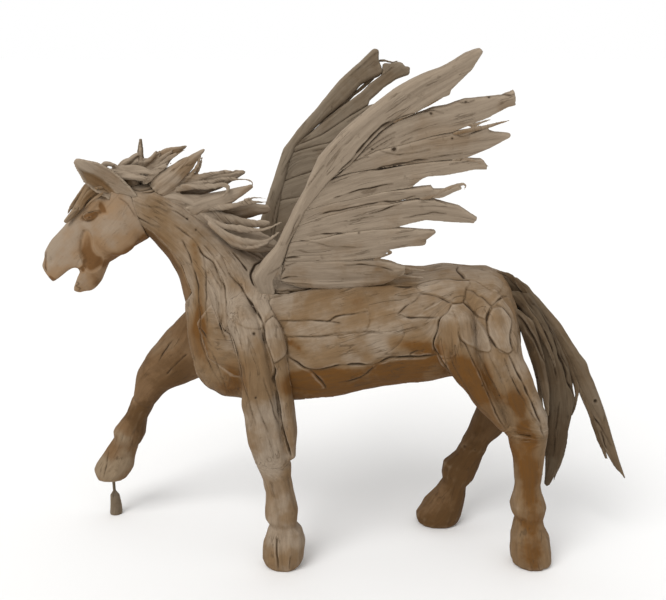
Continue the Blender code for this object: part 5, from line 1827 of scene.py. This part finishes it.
WING_SPLINTERS = (
    Strand((452, 134, 470, 130, 487.5, 126.5, 498, 123.4, 510, 120.3), (-0.004, 0), 0.0082, 0.0034),
    Strand((462, 124, 474, 124.5, 484, 121.5, 492, 119), thick=0.008, tip=0.0024),
    Strand((392, 122, 412, 111, 430, 102.5, 447, 94.6), thick=0.012, tip=0.003, copies=2, spread=0.003),
    Strand((452, 160, 468, 160, 480, 162.5, 489.5, 167), thick=0.0075, tip=0.0026, copies=2, spread=0.002),
    Strand((420, 199, 432, 196.5, 446, 190, 457, 186, 465, 184.6), (-0.006, -0.002), 0.008, 0.003, 2, 0.003),
    Strand((457, 186.5, 461, 184, 465.5, 185.5, 464, 190), (-0.002, -0.002), 0.0048, 0.0024),
    Strand((366, 250, 378, 250, 391, 252, 386, 255.4, 378.6, 258.8), (-0.006, -0.004), 0.0075, 0.002),
    Strand((356, 256, 368, 255.5, 380, 256.5, 390, 252.5), (-0.006, -0.004), 0.0085, 0.002),
    Strand((372, 260, 388, 264, 404, 268.5, 426, 271), (-0.004, 0.014), 0.013, 0.003, 2, 0.004),
    Strand((380, 272, 396, 275, 408, 277, 424, 277), (-0.004, 0.012), 0.012, 0.003, 2, 0.004),
)
FAR_WING_SPLINTERS = (
    Strand((376, 61, 384, 60.6, 392, 62.2, 399, 60.6), thick=0.007, tip=0.0032),
    Strand((352, 96, 364, 86, 374, 76, 380, 66), thick=0.008, tip=0.005, copies=2, spread=0.003),
    Strand((318, 128, 334, 112, 350, 98, 362, 86), thick=0.007, tip=0.005, copies=2, spread=0.003),
)


@dataclass
class Stage:
    """Pale floor, soft light and the photograph's camera.

    Attributes:
        floor_size: Length of the floor's sides.
        sky: Strength of the even light.
        backdrop: How pale the backdrop is where the camera sees it.
        key_strength: Strength of the one lamp.
        key_softness: How wide the lamp looks, in radians.
        key_place: Where it hangs; it points at the figure's foot.
        floor_colour: Colour of the floor.
    """

    floor_size: float = 400.0
    sky: float = 0.80
    backdrop: float = 1.0
    key_strength: float = 1.65
    key_softness: float = math.radians(34.0)
    key_place: tuple[float, float, float] = (-1.3, -1.7, 2.5)
    floor_colour: Colour = (0.88, 0.875, 0.865)

    def build(self) -> None:
        """Lay the floor, hang the light and place the camera."""
        bpy.ops.object.select_all(action="DESELECT")
        bpy.ops.mesh.primitive_plane_add(size=self.floor_size, location=(0.0, 0.0, -0.0005))
        floor = bpy.context.object
        floor.name = "pale_floor"
        bpy.ops.object.transform_apply(location=True, rotation=True, scale=True)
        paint = bpy.data.materials.new("pale_floor_paint")
        paint.use_nodes = True
        shader = paint.node_tree.nodes["Principled BSDF"]
        shader.inputs["Base Color"].default_value = (*self.floor_colour, 1.0)
        shader.inputs["Roughness"].default_value = 0.9
        floor.data.materials.append(paint)
        self.surround()
        lamp = bpy.data.lights.new("key", "SUN")
        lamp.energy = self.key_strength
        lamp.angle = self.key_softness
        hung = bpy.data.objects.new("key", lamp)
        hung.location = self.key_place
        hung.rotation_euler = (-Vector(self.key_place)).to_track_quat("-Z", "Y").to_euler()
        bpy.context.scene.collection.objects.link(hung)
        lens = bpy.data.cameras.new("photographer")
        lens.lens = LENS_MM
        lens.sensor_width = FILM_MM
        camera = bpy.data.objects.new("photographer", lens)
        camera.location = CAMERA_PLACE
        camera.rotation_euler = (CAMERA_TILT, 0.0, 0.0)
        bpy.context.scene.collection.objects.link(camera)
        bpy.context.scene.camera = camera
        bpy.context.scene.view_settings.view_transform = "Standard"

    def surround(self) -> None:
        """Fill the studio with soft even light; the backdrop itself is seen a little paler."""
        world = bpy.data.worlds.new("studio")
        bpy.context.scene.world = world
        world.use_nodes = True
        graph = Graph(world.node_tree)
        graph.tree.nodes.clear()
        soft, plain = (
            graph.node("Background", Color=(1.0, 1.0, 1.0, 1.0), Strength=strength).outputs[0]
            for strength in (self.sky, self.backdrop)
        )
        seen = graph.node("LightPath").outputs["Is Camera Ray"]
        graph.node("OutputWorld", Surface=graph.chain(graph.node("MixShader"), seen, soft, plain))


def main() -> None:
    """Build the whole horse and its stage."""
    logging.basicConfig(level=logging.INFO, format="%(message)s")
    GROUPS["grain"] = grain_group()
    GROUPS["blotch"] = blotch_group()
    for assembly in (
        Trunk(
            PATCHES + FLANK_MARKS + NECK_MARKS + HAUNCH_MARKS + LEG_MARKS, BODY_STAINS_AND_SHADE + LEG_STAINS_AND_SHADE,
            BODY_SHIFTS, JOINT_FILLERS,
        ),
        Head(HEAD_FORMS, HEAD_MARKS, HEAD_SHIFTS, FORELOCK_SHIFTS, FORELOCK_SPLINTERS),
        Locks(POLL_SPLINTERS, MANE_WISPS, TAIL_STRANDS, TAIL_MARKS, TAIL_SHIFTS),
        Legs(LEG_MARKS, FAR_LEG_STAINS, FAR_LEG_SHIFTS),
        Wings(WING_MARKS, WING_BENDS, WING_SPLINTERS, FAR_WING_SPLINTERS),
        Stage(),
    ):
        log.info("building %s", type(assembly).__name__)
        assembly.build()


if __name__ == "__main__":
    main()
